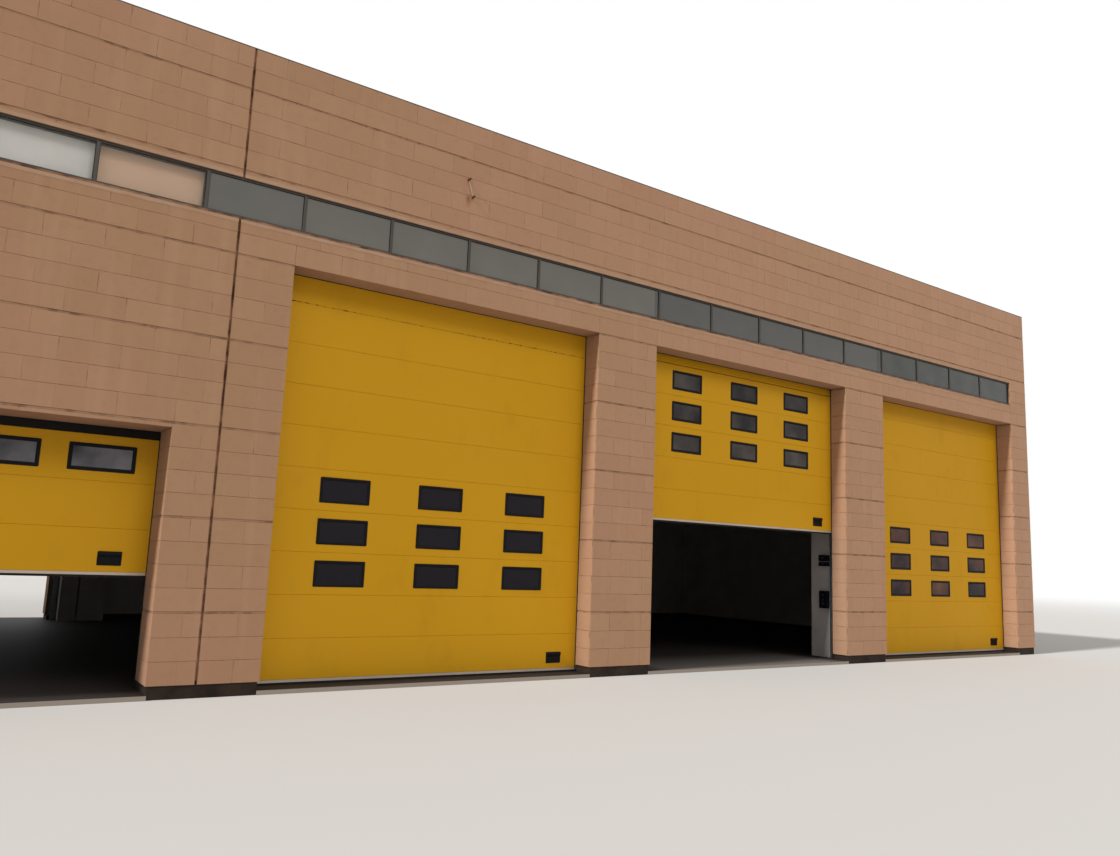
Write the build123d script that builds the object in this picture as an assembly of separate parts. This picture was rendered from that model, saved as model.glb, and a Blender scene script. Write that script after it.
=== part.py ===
"""Fire station appliance hall: a clad masonry box with four sectional doors and a glazed band.

Millimetres, +Z up. The street front faces -Y and x runs to the right along it.
The origin is the middle of the footprint at ground level.
"""
from build123d import *
import math
import os

# Plan sizes of the street front, from left to right
LEFT_END_PIER = 1335.0
LOW_DOOR_WIDTH = 4790.0
JOINT_PIER_LEFT = 480.0
MOVEMENT_JOINT = 25.0
JOINT_PIER_RIGHT = 655.0
DOOR_WIDTH = 4510.0
PIER_WIDTH = 1105.0
RIGHT_END_PIER = 645.0
DEPTH = 11000.0
WALL = 330.0
LOW_DOOR_RETURN = 240.0

# Heights of what stands on the ground, from the floor up
FLOOR = 50.0
PLINTH = 140.0
LOW_DOOR_HEIGHT = 2785.0
TALL_DOOR_HEIGHT = 4847.5
LINTEL = 420.5
GLAZING = 482.0
BEAM_OVER_GLAZING = 200.0
BEAM = 500.0
SLAB = 200.0
PARAPET = 710.0
COPING = 12.0

# Recessed lines between the courses of cladding, and the recessed base
GROOVE_FIRST = 885.0
GROOVE_PITCH = 1000.0
GROOVE_HEIGHT = 25.0
GROOVE_DEPTH = 20.0
PLINTH_RECESS = 20.0
JOINT_RECESS = 15.0

# Glazed band
GLAZING_END = 645.0
PANE_COUNT = 20
FRAME_SETBACK = 25.0
FRAME_DEPTH = 90.0
MULLION = 36.0
RAIL = 26.0
GLASS_SETBACK = 38.0
GLASS = 24.0

# Concrete frame behind the walls
COLUMN_DEPTH = 600.0
TRACK_ZONE = 177.0
SLAB_BEARING = 200.0

# Sectional door leaf
SEAL = 25.0
BOTTOM_BAR = 30.0
BOTTOM_PANEL = 465.0
PANEL = 500.0
LEAF = 42.0
LEAF_OVERLAP = 60.0
HEAD_OVERLAP = 60.0
HEAD_SEAL_DROP = 95.0
LEAF_CLEARANCE = 5.0
PANEL_GAP = 0.6
EDGE_CHAMFER = 4.0
HINGE_OFFSET = 25.0
ROLLER_INSET = 60.0
LOW_DOOR_RAISED = 1170.0
MIDDLE_DOOR_RAISED = 2190.0

# Door windows: rows counted from the lowest panel, which is 0
WINDOW_ROWS = (2, 3, 4)
LOW_WINDOW_ROWS = (2,)
WINDOW_WIDTH = 640.0
WINDOW_HEIGHT = 310.0
WINDOW_GAP = 665.0
WINDOW_COLUMNS = 3
LOW_WINDOW_WIDTH = 662.0
LOW_WINDOW_HEIGHT = 295.0
LOW_WINDOW_GAP = 258.0
LOW_WINDOW_COLUMNS = 5
WINDOW_BEZEL = 40.0
WINDOW_LAP = 20.0
BEZEL_PROUD = 8.0
DOOR_GLASS = 16.0

# Pull box at the foot of each leaf
PULL_WIDTH = 240.0
PULL_HEIGHT = 150.0
PULL_PLATE = 8.0
PULL_LEDGE = 26.0
PULL_LEDGE_HEIGHT = 45.0
PULL_ABOVE_FLOOR = 200.0
PULL_FROM_JAMB = 260.0

# Tracks, rollers and hangers
TRACK_RADIUS = 380.0
TRACK_WIDTH = 40.0
TRACK_SHEET = 3.0
TRACK_CLEARANCE = 5.0
TRACK_ABOVE_HEAD = 70.0
ANGLE_LEG = 60.0
ANGLE_SHEET = 4.0
ROLLER_DIAMETER = 46.0
ROLLER_WIDTH = 16.0
ROLLER_SIDES = 8
ROLLER_CLEARANCE = 0.3
STEM = 12.0
HINGE_WIDTH = 60.0
HANGER = 30.0
TRACK_TAIL = 150.0

# Fittings
CONTROL_SIZES = ((200.0, 200.0), (180.0, 310.0))
CONTROL_HEIGHTS = (1720.0, 1020.0)
CONTROL_DEPTH = 90.0
CONTROL_FROM_LEAF = 235.0
BRACKET_FROM_JOINT = 2955.0
BRACKET_OVER_GLAZING = 570.0
BRACKET_DROP = 230.0
BRACKET_PEG = 30.0
BRACKET_LEAN = 75.0
BRACKET_PROUD = 60.0
STRAP_WIDTH = 12.0

# Worked out from the sizes above
PIER_1 = JOINT_PIER_LEFT + MOVEMENT_JOINT + JOINT_PIER_RIGHT
LENGTH = (LEFT_END_PIER + LOW_DOOR_WIDTH + PIER_1 + 3 * DOOR_WIDTH + 2 * PIER_WIDTH
          + RIGHT_END_PIER)
LEFT = -LENGTH / 2
RIGHT = LENGTH / 2
FRONT = -DEPTH / 2
INNER = FRONT + WALL
LOW_HEAD = FLOOR + LOW_DOOR_HEIGHT
HIGH_HEAD = FLOOR + TALL_DOOR_HEIGHT
GLAZING_SILL = HIGH_HEAD + LINTEL
GLAZING_HEAD = GLAZING_SILL + GLAZING
BEAM_UNDERSIDE = GLAZING_HEAD + BEAM_OVER_GLAZING
SLAB_UNDERSIDE = BEAM_UNDERSIDE + BEAM
SLAB_TOP = SLAB_UNDERSIDE + SLAB
PARAPET_TOP = SLAB_TOP + PARAPET
WALL_TOP = PARAPET_TOP - COPING
LEAF_FRONT = INNER + LEAF_CLEARANCE
LEAF_BACK = LEAF_FRONT + LEAF
HINGE_LINE = LEAF_BACK + HINGE_OFFSET
EPS = 5.0

# Door openings on the front as (left, right)
LOW_DOOR = (LEFT + LEFT_END_PIER, LEFT + LEFT_END_PIER + LOW_DOOR_WIDTH)
JOINT_LEFT = LOW_DOOR[1] + JOINT_PIER_LEFT
JOINT_RIGHT = JOINT_LEFT + MOVEMENT_JOINT
TALL_DOORS = []
for number in range(3):
    start = JOINT_RIGHT + JOINT_PIER_RIGHT + number * (DOOR_WIDTH + PIER_WIDTH)
    TALL_DOORS.append((start, start + DOOR_WIDTH))


def block(x0, x1, y0, y1, z0, z1):
    """A box between two corners."""
    return Pos(x0, y0, z0) * Box(x1 - x0, y1 - y0, z1 - z0, align=(Align.MIN,) * 3)


def turned(shape):
    """The same piece on the rear wall, mirrored through the middle of the depth."""
    return mirror(shape, about=Plane.XZ)


def groove_levels(z0, z1):
    """Middle heights of the recessed lines that fall on a wall between two levels."""
    levels = []
    z = GROOVE_FIRST
    while z < z1:
        if z > z0:
            levels.append(z)
        z += GROOVE_PITCH
    return levels


def clad_wall(x0, x1, y0, y1, z0, z1, faces):
    """A wall block with the recessed lines cut round the named faces."""
    wall = block(x0, x1, y0, y1, z0, z1)
    inset = {name: GROOVE_DEPTH if name in faces else -EPS
             for name in ("left", "right", "front", "rear")}
    for z in groove_levels(z0, z1):
        low, high = z - GROOVE_HEIGHT / 2, z + GROOVE_HEIGHT / 2
        ring = block(x0 - EPS, x1 + EPS, y0 - EPS, y1 + EPS, low, high)
        core = block(x0 + inset["left"], x1 - inset["right"],
                     y0 + inset["front"], y1 - inset["rear"], low - EPS, high + EPS)
        wall = wall - (ring - core)
    return wall


def low_door_returns():
    """The extra thickness of the wall round the low door: left, right and over it."""
    depth = (INNER, INNER + LOW_DOOR_RETURN)
    left = clad_wall(LEFT + WALL, LOW_DOOR[0], *depth, PLINTH, LOW_HEAD, ("right",))
    right = clad_wall(LOW_DOOR[1], JOINT_LEFT, *depth, PLINTH, LOW_HEAD, ("left",))
    over = block(LEFT + WALL, JOINT_LEFT, *depth, LOW_HEAD, GLAZING_SILL)
    return left, right, over


def front_piers():
    """The clad piers beside the doors, each as its own node."""
    first, second, third = TALL_DOORS
    low = (PLINTH, LOW_HEAD)
    high = (PLINTH, HIGH_HEAD)
    left, right, _ = low_door_returns()
    return {
        "pier_left_end": left + clad_wall(LEFT, LOW_DOOR[0], FRONT, INNER, *low,
                                          ("left", "front", "right")),
        "pier_joint_left": right + clad_wall(LOW_DOOR[1], JOINT_LEFT, FRONT, INNER, *low,
                                             ("left", "front")),
        "pier_joint_right": clad_wall(JOINT_RIGHT, first[0], FRONT, INNER, *high,
                                      ("front", "right")),
        "pier_middle": clad_wall(first[1], second[0], FRONT, INNER, *high,
                                 ("left", "front", "right")),
        "pier_right": clad_wall(second[1], third[0], FRONT, INNER, *high,
                                ("left", "front", "right")),
        "pier_right_end": clad_wall(third[1], RIGHT, FRONT, INNER, *high,
                                    ("left", "front", "right")),
    }


def walls_over_doors():
    """The walls from the door heads up to the sill of the glazed band."""
    over_low_door = clad_wall(LEFT, JOINT_LEFT, FRONT, INNER, LOW_HEAD, GLAZING_SILL,
                              ("left", "front"))
    return {
        "front_wall_over_low_door": over_low_door + low_door_returns()[2],
        "front_lintel": clad_wall(JOINT_RIGHT, RIGHT, FRONT, INNER, HIGH_HEAD, GLAZING_SILL,
                                  ("front", "right")),
    }


def parapets():
    """The walls above the glazed band on both sides of the movement joint."""
    left = clad_wall(LEFT, JOINT_LEFT, FRONT, INNER, GLAZING_HEAD, WALL_TOP,
                     ("left", "front"))
    right = clad_wall(JOINT_RIGHT, RIGHT, FRONT, INNER, GLAZING_HEAD, WALL_TOP,
                      ("front", "right"))
    return {
        "front_parapet_left": left,
        "front_parapet_right": right,
        "rear_parapet_left": turned(left),
        "rear_parapet_right": turned(right),
    }


def glazing_end_blocks():
    """The short walls that close the glazed band at each corner."""
    levels = (GLAZING_SILL, GLAZING_HEAD)
    left = block(LEFT, LEFT + GLAZING_END, FRONT, INNER, *levels)
    right = block(RIGHT - GLAZING_END, RIGHT, FRONT, INNER, *levels)
    return [left, right, turned(left), turned(right)]


def side_walls():
    """Plain end walls, with a pocket on the inside where the roof slab bears."""
    walls = {}
    for name, face, outer, inner in (("left_wall", "left", LEFT, LEFT + WALL),
                                     ("right_wall", "right", RIGHT, RIGHT - WALL)):
        wall = clad_wall(min(outer, inner), max(outer, inner), INNER, -INNER,
                         PLINTH, WALL_TOP, (face,))
        bearing = inner + math.copysign(SLAB_BEARING, outer)
        pocket = block(min(inner, bearing), max(inner, bearing), INNER, -INNER,
                       SLAB_UNDERSIDE, SLAB_TOP)
        walls[name] = wall - pocket
    return walls


def rear_walls():
    """The rear repeats the bands of the front, with one doorway behind the low door."""
    low = (PLINTH, LOW_HEAD)
    end_pier = clad_wall(LEFT, LOW_DOOR[0], -INNER, -FRONT, *low, ("left", "rear", "right"))
    joint_pier = clad_wall(LOW_DOOR[1], JOINT_LEFT, -INNER, -FRONT, *low, ("left", "rear"))
    over = clad_wall(LEFT, JOINT_LEFT, -INNER, -FRONT, LOW_HEAD, GLAZING_SILL,
                     ("left", "rear"))
    plain = clad_wall(JOINT_RIGHT, RIGHT, -INNER, -FRONT, PLINTH, GLAZING_SILL,
                      ("rear", "right"))
    left, right, top = [turned(piece) for piece in low_door_returns()]
    return {
        "rear_piers": [end_pier + left, joint_pier + right],
        "rear_wall_over_low_door": over + top,
        "rear_wall": plain,
    }


def plinths():
    """The dark recessed base under every wall."""
    back = PLINTH_RECESS
    levels = (0, PLINTH)
    first, second, third = TALL_DOORS
    spans = [(LEFT + back, LOW_DOOR[0] - back), (LOW_DOOR[1] + back, JOINT_LEFT),
             (JOINT_RIGHT, first[0] - back), (first[1] + back, second[0] - back),
             (second[1] + back, third[0] - back), (third[1] + back, RIGHT - back)]
    front = [block(x0, x1, FRONT + back, INNER, *levels) for x0, x1 in spans]
    extra = (INNER, INNER + LOW_DOOR_RETURN, FLOOR, PLINTH)
    front[0] = front[0] + block(LEFT + WALL, LOW_DOOR[0] - back, *extra)
    front[1] = front[1] + block(LOW_DOOR[1] + back, JOINT_LEFT, *extra)
    rear = [turned(piece) for piece in front[:2]]
    rear.append(block(JOINT_RIGHT, RIGHT - back, -INNER, -FRONT - back, *levels))
    sides = [block(LEFT + back, LEFT + WALL, INNER, -INNER, *levels),
             block(RIGHT - WALL, RIGHT - back, INNER, -INNER, *levels)]
    return front + rear + sides


def floor():
    """The hall floor with its tongues through the doorways to the wall faces."""
    slab = block(LEFT + WALL, RIGHT - WALL, INNER, -INNER, 0, FLOOR)
    for x0, x1 in [LOW_DOOR] + TALL_DOORS:
        slab = slab + block(x0 - PLINTH_RECESS, x1 + PLINTH_RECESS, FRONT, INNER, 0, FLOOR)
    x0, x1 = LOW_DOOR
    return slab + block(x0 - PLINTH_RECESS, x1 + PLINTH_RECESS, -INNER, -FRONT, 0, FLOOR)


def joint_fillers():
    """Dark strips set back in the joint between the two parts of the building."""
    face = FRONT + JOINT_RECESS
    low = block(JOINT_LEFT, JOINT_RIGHT, face, INNER, 0, GLAZING_SILL)
    high = block(JOINT_LEFT, JOINT_RIGHT, face, INNER, GLAZING_HEAD, WALL_TOP)
    roof = block(JOINT_LEFT, JOINT_RIGHT, INNER, -INNER, SLAB_UNDERSIDE, SLAB_TOP)
    return [low, high, turned(low), turned(high), roof]


def coping():
    """Thin flashing along the top of each parapet wall."""
    levels = (WALL_TOP, PARAPET_TOP)
    front = block(LEFT, RIGHT, FRONT, INNER, *levels)
    left = block(LEFT, LEFT + WALL, INNER, -INNER, *levels)
    right = block(RIGHT - WALL, RIGHT, INNER, -INNER, *levels)
    return [front, turned(front), left, right]


def pane_edges():
    """The x of each pane's two edges between the mullions, from left to right."""
    first, last = LEFT + GLAZING_END, RIGHT - GLAZING_END
    pitch = (last - first) / PANE_COUNT
    edges = []
    for count in range(PANE_COUNT):
        x0 = first + count * pitch
        start = x0 + (RAIL if count == 0 else MULLION / 2)
        end = x0 + pitch - (RAIL if count == PANE_COUNT - 1 else MULLION / 2)
        edges.append((start, end))
    return edges


def glazing_frame():
    """One continuous frame with rails and mullions, for the front and the rear."""
    y0 = FRONT + FRAME_SETBACK
    frame = block(LEFT + GLAZING_END, RIGHT - GLAZING_END, y0, y0 + FRAME_DEPTH,
                  GLAZING_SILL, GLAZING_HEAD)
    holes = [block(x0, x1, y0 - EPS, y0 + FRAME_DEPTH + EPS, GLAZING_SILL + RAIL,
                   GLAZING_HEAD - RAIL) for x0, x1 in pane_edges()]
    frame = frame - holes
    return [frame, turned(frame)]


def glazing_panes():
    """The panes between the mullions."""
    y0 = FRONT + GLASS_SETBACK
    front = [block(x0, x1, y0, y0 + GLASS, GLAZING_SILL + RAIL, GLAZING_HEAD - RAIL)
             for x0, x1 in pane_edges()]
    return front + [turned(pane) for pane in front]


def column_lines():
    """Left and right sides of the columns, clear of the door tracks."""
    first, second, third = TALL_DOORS
    return [(LOW_DOOR[1] + TRACK_ZONE, JOINT_LEFT),
            (JOINT_RIGHT, first[0] - TRACK_ZONE),
            (first[1] + TRACK_ZONE, second[0] - TRACK_ZONE),
            (second[1] + TRACK_ZONE, third[0] - TRACK_ZONE)]


def columns():
    """Concrete columns against the inner face of the front wall."""
    lines = column_lines()
    starts = [INNER + LOW_DOOR_RETURN] + [INNER] * (len(lines) - 1)
    return [block(x0, x1, start, INNER + COLUMN_DEPTH, FLOOR, BEAM_UNDERSIDE)
            for (x0, x1), start in zip(lines, starts)]


def roof_beams():
    """Beams from front to rear over the columns."""
    return [block(x0, x1, INNER, -INNER, BEAM_UNDERSIDE, SLAB_UNDERSIDE)
            for x0, x1 in column_lines()]


def roof_slabs():
    """The flat roof in two slabs that bear on the end walls."""
    reach = WALL - SLAB_BEARING
    return [block(LEFT + reach, JOINT_LEFT, INNER, -INNER, SLAB_UNDERSIDE, SLAB_TOP),
            block(JOINT_RIGHT, RIGHT - reach, INNER, -INNER, SLAB_UNDERSIDE, SLAB_TOP)]


class SectionalDoor:
    """A leaf of hinged panels on rollers that climbs a pair of curved tracks."""

    def __init__(self, opening, head, raised, setback, window_rows, window_size, window_gap,
                 window_columns):
        self.left, self.right = opening
        self.head = head
        self.raised = raised
        self.setback = setback
        self.window_rows = window_rows
        self.window_size = window_size
        self.window_gap = window_gap
        self.window_columns = window_columns
        self.bend = head + TRACK_ABOVE_HEAD
        self.edge_left = self.left - LEAF_OVERLAP
        self.edge_right = self.right + LEAF_OVERLAP

    def path(self, travel):
        """The (y, z) of a hinge that has climbed a length of track above z = 0."""
        if travel <= self.bend:
            return HINGE_LINE, travel
        angle = (travel - self.bend) / TRACK_RADIUS
        if angle <= math.pi / 2:
            return (HINGE_LINE + TRACK_RADIUS * (1 - math.cos(angle)),
                    self.bend + TRACK_RADIUS * math.sin(angle))
        flat = travel - self.bend - TRACK_RADIUS * math.pi / 2
        return HINGE_LINE + TRACK_RADIUS + flat, self.bend + TRACK_RADIUS

    def next_travel(self, travel, distance):
        """Travel of the hinge that lies a straight distance further along the track."""
        y0, z0 = self.path(travel)
        low, high = travel, travel + 2 * distance
        for _ in range(50):
            middle = (low + high) / 2
            y1, z1 = self.path(middle)
            if math.hypot(y1 - y0, z1 - z0) < distance:
                low = middle
            else:
                high = middle
        return (low + high) / 2

    def panels(self):
        """Each panel as (lower hinge, upper hinge, reach below, reach above) on the track."""
        bottom = FLOOR + SEAL + BOTTOM_BAR
        top = self.head + HEAD_OVERLAP
        first = bottom + BOTTOM_PANEL
        full = int((top - first) // PANEL)
        joints = [first + PANEL * count for count in range(full + 1)]
        if top - joints[-1] < 2 * ROLLER_INSET:
            joints.pop()
        spans = [(bottom, joints[0])] + list(zip(joints, joints[1:])) + [(joints[-1], top)]
        travel = bottom + ROLLER_INSET + self.raised
        placed = []
        for number, (z0, z1) in enumerate(spans):
            below = ROLLER_INSET if number == 0 else 0
            above = ROLLER_INSET if number == len(spans) - 1 else 0
            upper = self.next_travel(travel, z1 - z0 - below - above)
            placed.append((self.path(travel), self.path(upper), below, above))
            travel = upper
        return placed

    def placed(self, shape, panel):
        """A shape drawn on an upright panel whose lower hinge is the origin, put in place."""
        (y0, z0), (y1, z1), _, _ = panel
        tilt = math.degrees(math.atan2(y1 - y0, z1 - z0))
        return Pos(0, y0, z0) * Rot(X=-tilt) * shape

    def length(self, panel):
        """Distance between the two hinges of a panel."""
        (y0, z0), (y1, z1), _, _ = panel
        return math.hypot(y1 - y0, z1 - z0)

    def window_spans(self):
        """Left and right of each window across the leaf."""
        width, gap, count = self.window_size[0], self.window_gap, self.window_columns
        first = (self.left + self.right - count * width - (count - 1) * gap) / 2
        return [(first + n * (width + gap), first + n * (width + gap) + width)
                for n in range(count)]

    def leaf(self):
        """The panels, chamfered along their meeting edges and cut for the windows."""
        solids = []
        for number, panel in enumerate(self.panels()):
            z0 = -panel[2] + PANEL_GAP / 2
            z1 = self.length(panel) + panel[3] - PANEL_GAP / 2
            outer, inner = -HINGE_OFFSET - LEAF, -HINGE_OFFSET
            section = Polyline((outer, z0 + EDGE_CHAMFER), (outer, z1 - EDGE_CHAMFER),
                               (outer + EDGE_CHAMFER, z1), (inner, z1), (inner, z0),
                               (outer + EDGE_CHAMFER, z0), close=True)
            face = Plane.YZ.offset(self.edge_left) * make_face(section)
            board = extrude(face, amount=self.edge_right - self.edge_left)
            if number in self.window_rows:
                board = board - self.window_blocks(panel, WINDOW_LAP, outer - EPS, inner + EPS)
            solids.append(self.placed(board, panel))
        return solids

    def window_blocks(self, panel, inset, y0, y1):
        """Boxes at the windows of one panel, smaller all round by the inset."""
        middle = self.length(panel) / 2
        half = self.window_size[1] / 2 - inset
        return [block(x0 + inset, x1 - inset, y0, y1, middle - half, middle + half)
                for x0, x1 in self.window_spans()]

    def window_parts(self):
        """The proud bezels and the panes of all windows."""
        bezels, panes = [], []
        outer = -HINGE_OFFSET - LEAF
        for number, panel in enumerate(self.panels()):
            if number not in self.window_rows:
                continue
            rims = self.window_blocks(panel, 0, outer - BEZEL_PROUD, outer)
            cores = self.window_blocks(panel, WINDOW_BEZEL, outer - BEZEL_PROUD - EPS,
                                       outer + EPS)
            bezels += [self.placed(rim - core, panel) for rim, core in zip(rims, cores)]
            sheets = self.window_blocks(panel, WINDOW_LAP, outer, outer + DOOR_GLASS)
            panes += [self.placed(sheet, panel) for sheet in sheets]
        return bezels, panes

    def foot(self):
        """The pale bottom bar and the rubber seal under it."""
        lowest = FLOOR + self.raised
        bar = block(self.edge_left, self.edge_right, LEAF_FRONT, LEAF_BACK,
                    lowest + SEAL, lowest + SEAL + BOTTOM_BAR)
        seal = block(self.edge_left, self.edge_right, LEAF_FRONT, LEAF_BACK,
                     lowest, lowest + SEAL)
        return bar, seal

    def head_seal(self):
        """The rubber flap on the wall that hangs over the top of a leaf."""
        return block(self.edge_left, self.edge_right, INNER, LEAF_FRONT,
                     self.head - HEAD_SEAL_DROP, self.head + HEAD_OVERLAP)

    def pull_box(self):
        """The hand pull: a black plate with a ledge along its top."""
        x1 = self.right - PULL_FROM_JAMB
        x0 = x1 - PULL_WIDTH
        z0 = FLOOR + PULL_ABOVE_FLOOR - PULL_HEIGHT / 2 + self.raised
        z1 = z0 + PULL_HEIGHT
        plate = block(x0, x1, LEAF_FRONT - PULL_PLATE, LEAF_FRONT, z0, z1)
        ledge = block(x0, x1, LEAF_FRONT - PULL_LEDGE, LEAF_FRONT, z1 - PULL_LEDGE_HEIGHT, z1)
        return plate + ledge

    def channel(self, side):
        """Plan outline of the track that opens towards the leaf, as a face."""
        reach = ROLLER_DIAMETER / 2 + ROLLER_CLEARANCE
        near = (self.left if side < 0 else self.right) + side * (LEAF_OVERLAP + TRACK_CLEARANCE)
        far = near + side * TRACK_WIDTH
        y0, y1 = HINGE_LINE - reach - TRACK_SHEET, HINGE_LINE + reach + TRACK_SHEET
        web = far - side * TRACK_SHEET
        outline = Polyline((near, y0), (far, y0), (far, y1), (near, y1),
                           (near, y1 - TRACK_SHEET), (web, y1 - TRACK_SHEET),
                           (web, y0 + TRACK_SHEET), (near, y0 + TRACK_SHEET), close=True)
        return make_face(outline)

    def wall_angle(self, side):
        """The upright angle that fixes the track to the wall."""
        start = (self.left if side < 0 else self.right) + side * (
            LEAF_OVERLAP + TRACK_CLEARANCE + TRACK_WIDTH)
        reach = ROLLER_DIAMETER / 2 + ROLLER_CLEARANCE + TRACK_SHEET
        far, thin = start + side * ANGLE_LEG, start + side * ANGLE_SHEET
        flange = block(min(start, far), max(start, far), INNER, INNER + ANGLE_SHEET,
                       FLOOR, self.bend)
        rib = block(min(start, thin), max(start, thin), INNER, HINGE_LINE + reach,
                    FLOOR, self.bend)
        return flange + rib

    def flat_run(self):
        """Length of the level part of the track, enough for the whole leaf."""
        return self.head - FLOOR - TRACK_RADIUS + TRACK_TAIL

    def tracks(self):
        """Upright, curved and level track on both sides, each a solid of its own."""
        solids = []
        pivot = Axis((0, HINGE_LINE + TRACK_RADIUS, self.bend), (1, 0, 0))
        for side in (-1, 1):
            face = self.channel(side)
            upright = extrude(Pos(0, 0, FLOOR) * face, amount=self.bend - FLOOR,
                              dir=(0, 0, 1))
            solids.append(upright + self.wall_angle(side))
            raised = Pos(0, 0, self.bend) * face
            solids.append(revolve(raised, axis=pivot, revolution_arc=-90))
            level = extrude(raised, amount=self.flat_run(), dir=(0, 0, 1))
            solids.append(level.rotate(pivot, -90))
        return solids

    def hangers(self):
        """Uprights from the ends of the level tracks to the roof slab."""
        solids = []
        top = self.bend + TRACK_RADIUS + ROLLER_DIAMETER / 2 + ROLLER_CLEARANCE + TRACK_SHEET
        start = HINGE_LINE + TRACK_RADIUS
        for side in (-1, 1):
            near = (self.left if side < 0 else self.right) + side * (
                LEAF_OVERLAP + TRACK_CLEARANCE)
            x0 = min(near, near + side * HANGER)
            for y0 in (start + HANGER, start + self.flat_run() - 2 * HANGER):
                solids.append(block(x0, x0 + HANGER, y0, y0 + HANGER, top, SLAB_UNDERSIDE))
        return solids

    def carrier(self, side, level):
        """A bent hinge arm on the inner face of a panel, with the roller on its end."""
        edge = self.edge_left if side < 0 else self.edge_right
        foot = edge - side * HINGE_WIDTH
        wheel = edge + side * (TRACK_CLEARANCE + (TRACK_WIDTH - TRACK_SHEET) / 2)
        arm = Polyline((foot, -HINGE_OFFSET), (edge, -HINGE_OFFSET), (edge, -STEM / 2),
                       (wheel, -STEM / 2), (wheel, STEM / 2), (foot, STEM / 2), close=True)
        arm = extrude(Pos(0, 0, level - STEM) * make_face(arm), amount=STEM, dir=(0, 0, 1))
        roller = RegularPolygon(ROLLER_DIAMETER / 2, ROLLER_SIDES)
        face = Plane.YZ.offset(wheel - ROLLER_WIDTH / 2) * Pos(0, level) * roller
        return arm + extrude(face, amount=ROLLER_WIDTH)

    def rollers(self):
        """The carriers at both ends of every panel joint, and at the bottom of the leaf."""
        panels = self.panels()
        levels = [(panels[0], 0)] + [(panel, self.length(panel)) for panel in panels]
        return [self.placed(self.carrier(side, level), panel)
                for panel, level in levels for side in (-1, 1)]


def all_doors():
    """The low door, the three tall doors and the rear twin of the low door."""
    tall = WINDOW_ROWS, (WINDOW_WIDTH, WINDOW_HEIGHT), WINDOW_GAP, WINDOW_COLUMNS
    low = (LOW_WINDOW_ROWS, (LOW_WINDOW_WIDTH, LOW_WINDOW_HEIGHT), LOW_WINDOW_GAP,
           LOW_WINDOW_COLUMNS)
    first, second, third = TALL_DOORS
    return {
        "door_1": SectionalDoor(LOW_DOOR, LOW_HEAD, LOW_DOOR_RAISED, LOW_DOOR_RETURN, *low),
        "door_2": SectionalDoor(first, HIGH_HEAD, 0, 0, *tall),
        "door_3": SectionalDoor(second, HIGH_HEAD, MIDDLE_DOOR_RAISED, 0, *tall),
        "door_4": SectionalDoor(third, HIGH_HEAD, 0, 0, *tall),
    }


def door_nodes():
    """Leaf nodes for each door, and shared nodes for their like pieces."""
    nodes = {name: [] for name in ("door_window_frames", "door_window_glass", "door_bottom_bars",
                                   "door_seals", "door_pull_boxes", "door_tracks",
                                   "track_hangers", "door_rollers")}
    doors = [(name, door, False) for name, door in all_doors().items()]
    doors.append(("rear_door", all_doors()["door_1"], True))
    for name, door, at_rear in doors:
        bezels, panes = door.window_parts()
        bar, seal = door.foot()
        seals = [seal, door.head_seal()] if door.setback else [seal]
        kinds = {name + "_leaf": door.leaf(), "door_window_frames": bezels,
                 "door_window_glass": panes, "door_bottom_bars": [bar], "door_seals": seals,
                 "door_pull_boxes": [door.pull_box()], "door_tracks": door.tracks(),
                 "track_hangers": door.hangers(), "door_rollers": door.rollers()}
        for kind, solids in kinds.items():
            pieces = [Pos(0, door.setback, 0) * solid for solid in solids]
            if at_rear:
                pieces = [turned(piece) for piece in pieces]
            nodes[kind] = nodes.get(kind, []) + pieces
    return nodes


def control_boxes():
    """Two boxes for the door controls on the column right of the raised tall door."""
    face = TALL_DOORS[1][1] + TRACK_ZONE
    middle = LEAF_BACK + CONTROL_FROM_LEAF
    boxes = []
    for (width, height), above_floor in zip(CONTROL_SIZES, CONTROL_HEIGHTS):
        level = FLOOR + above_floor
        boxes.append(block(face - CONTROL_DEPTH, face, middle - width / 2, middle + width / 2,
                           level - height / 2, level + height / 2))
    return boxes


def wall_bracket():
    """Two pegs joined by a leaning thin strap, high on the front wall."""
    foot = JOINT_RIGHT + BRACKET_FROM_JOINT
    head = foot - BRACKET_LEAN
    low = GLAZING_HEAD + BRACKET_OVER_GLAZING
    high = low + BRACKET_DROP
    half = BRACKET_PEG / 2
    side = STRAP_WIDTH / 2
    outline = Polygon((foot - side, low), (foot + side, low), (head + side, high),
                      (head - side, high), align=None)
    shape = extrude(Plane.XZ.offset(-FRONT) * outline, STRAP_WIDTH)
    for x, level in ((foot, low), (head, high)):
        shape = shape + block(x - half, x + half, FRONT - BRACKET_PROUD, FRONT,
                              level - half, level + half)
    return shape


def all_nodes():
    """Every node's name with its solid or list of solids."""
    nodes = {
        "floor_slab": floor(),
        "wall_plinths": plinths(),
        "glazing_end_blocks": glazing_end_blocks(),
        "glazing_frames": glazing_frame(),
        "glazing_panes": glazing_panes(),
        "movement_joint_fillers": joint_fillers(),
        "parapet_coping": coping(),
        "front_columns": columns(),
        "rear_columns": [turned(column) for column in columns()],
        "roof_beams": roof_beams(),
        "roof_slabs": roof_slabs(),
        "door_control_boxes": control_boxes(),
        "wall_bracket": wall_bracket(),
    }
    for group in (front_piers(), walls_over_doors(), parapets(), side_walls(), rear_walls(),
                  door_nodes()):
        nodes.update(group)
    return nodes


def solids_of(shape):
    """The solids in one shape or in a list of shapes."""
    shapes = shape if isinstance(shape, list) else [shape]
    return [solid for one in shapes for solid in one.solids()]


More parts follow.
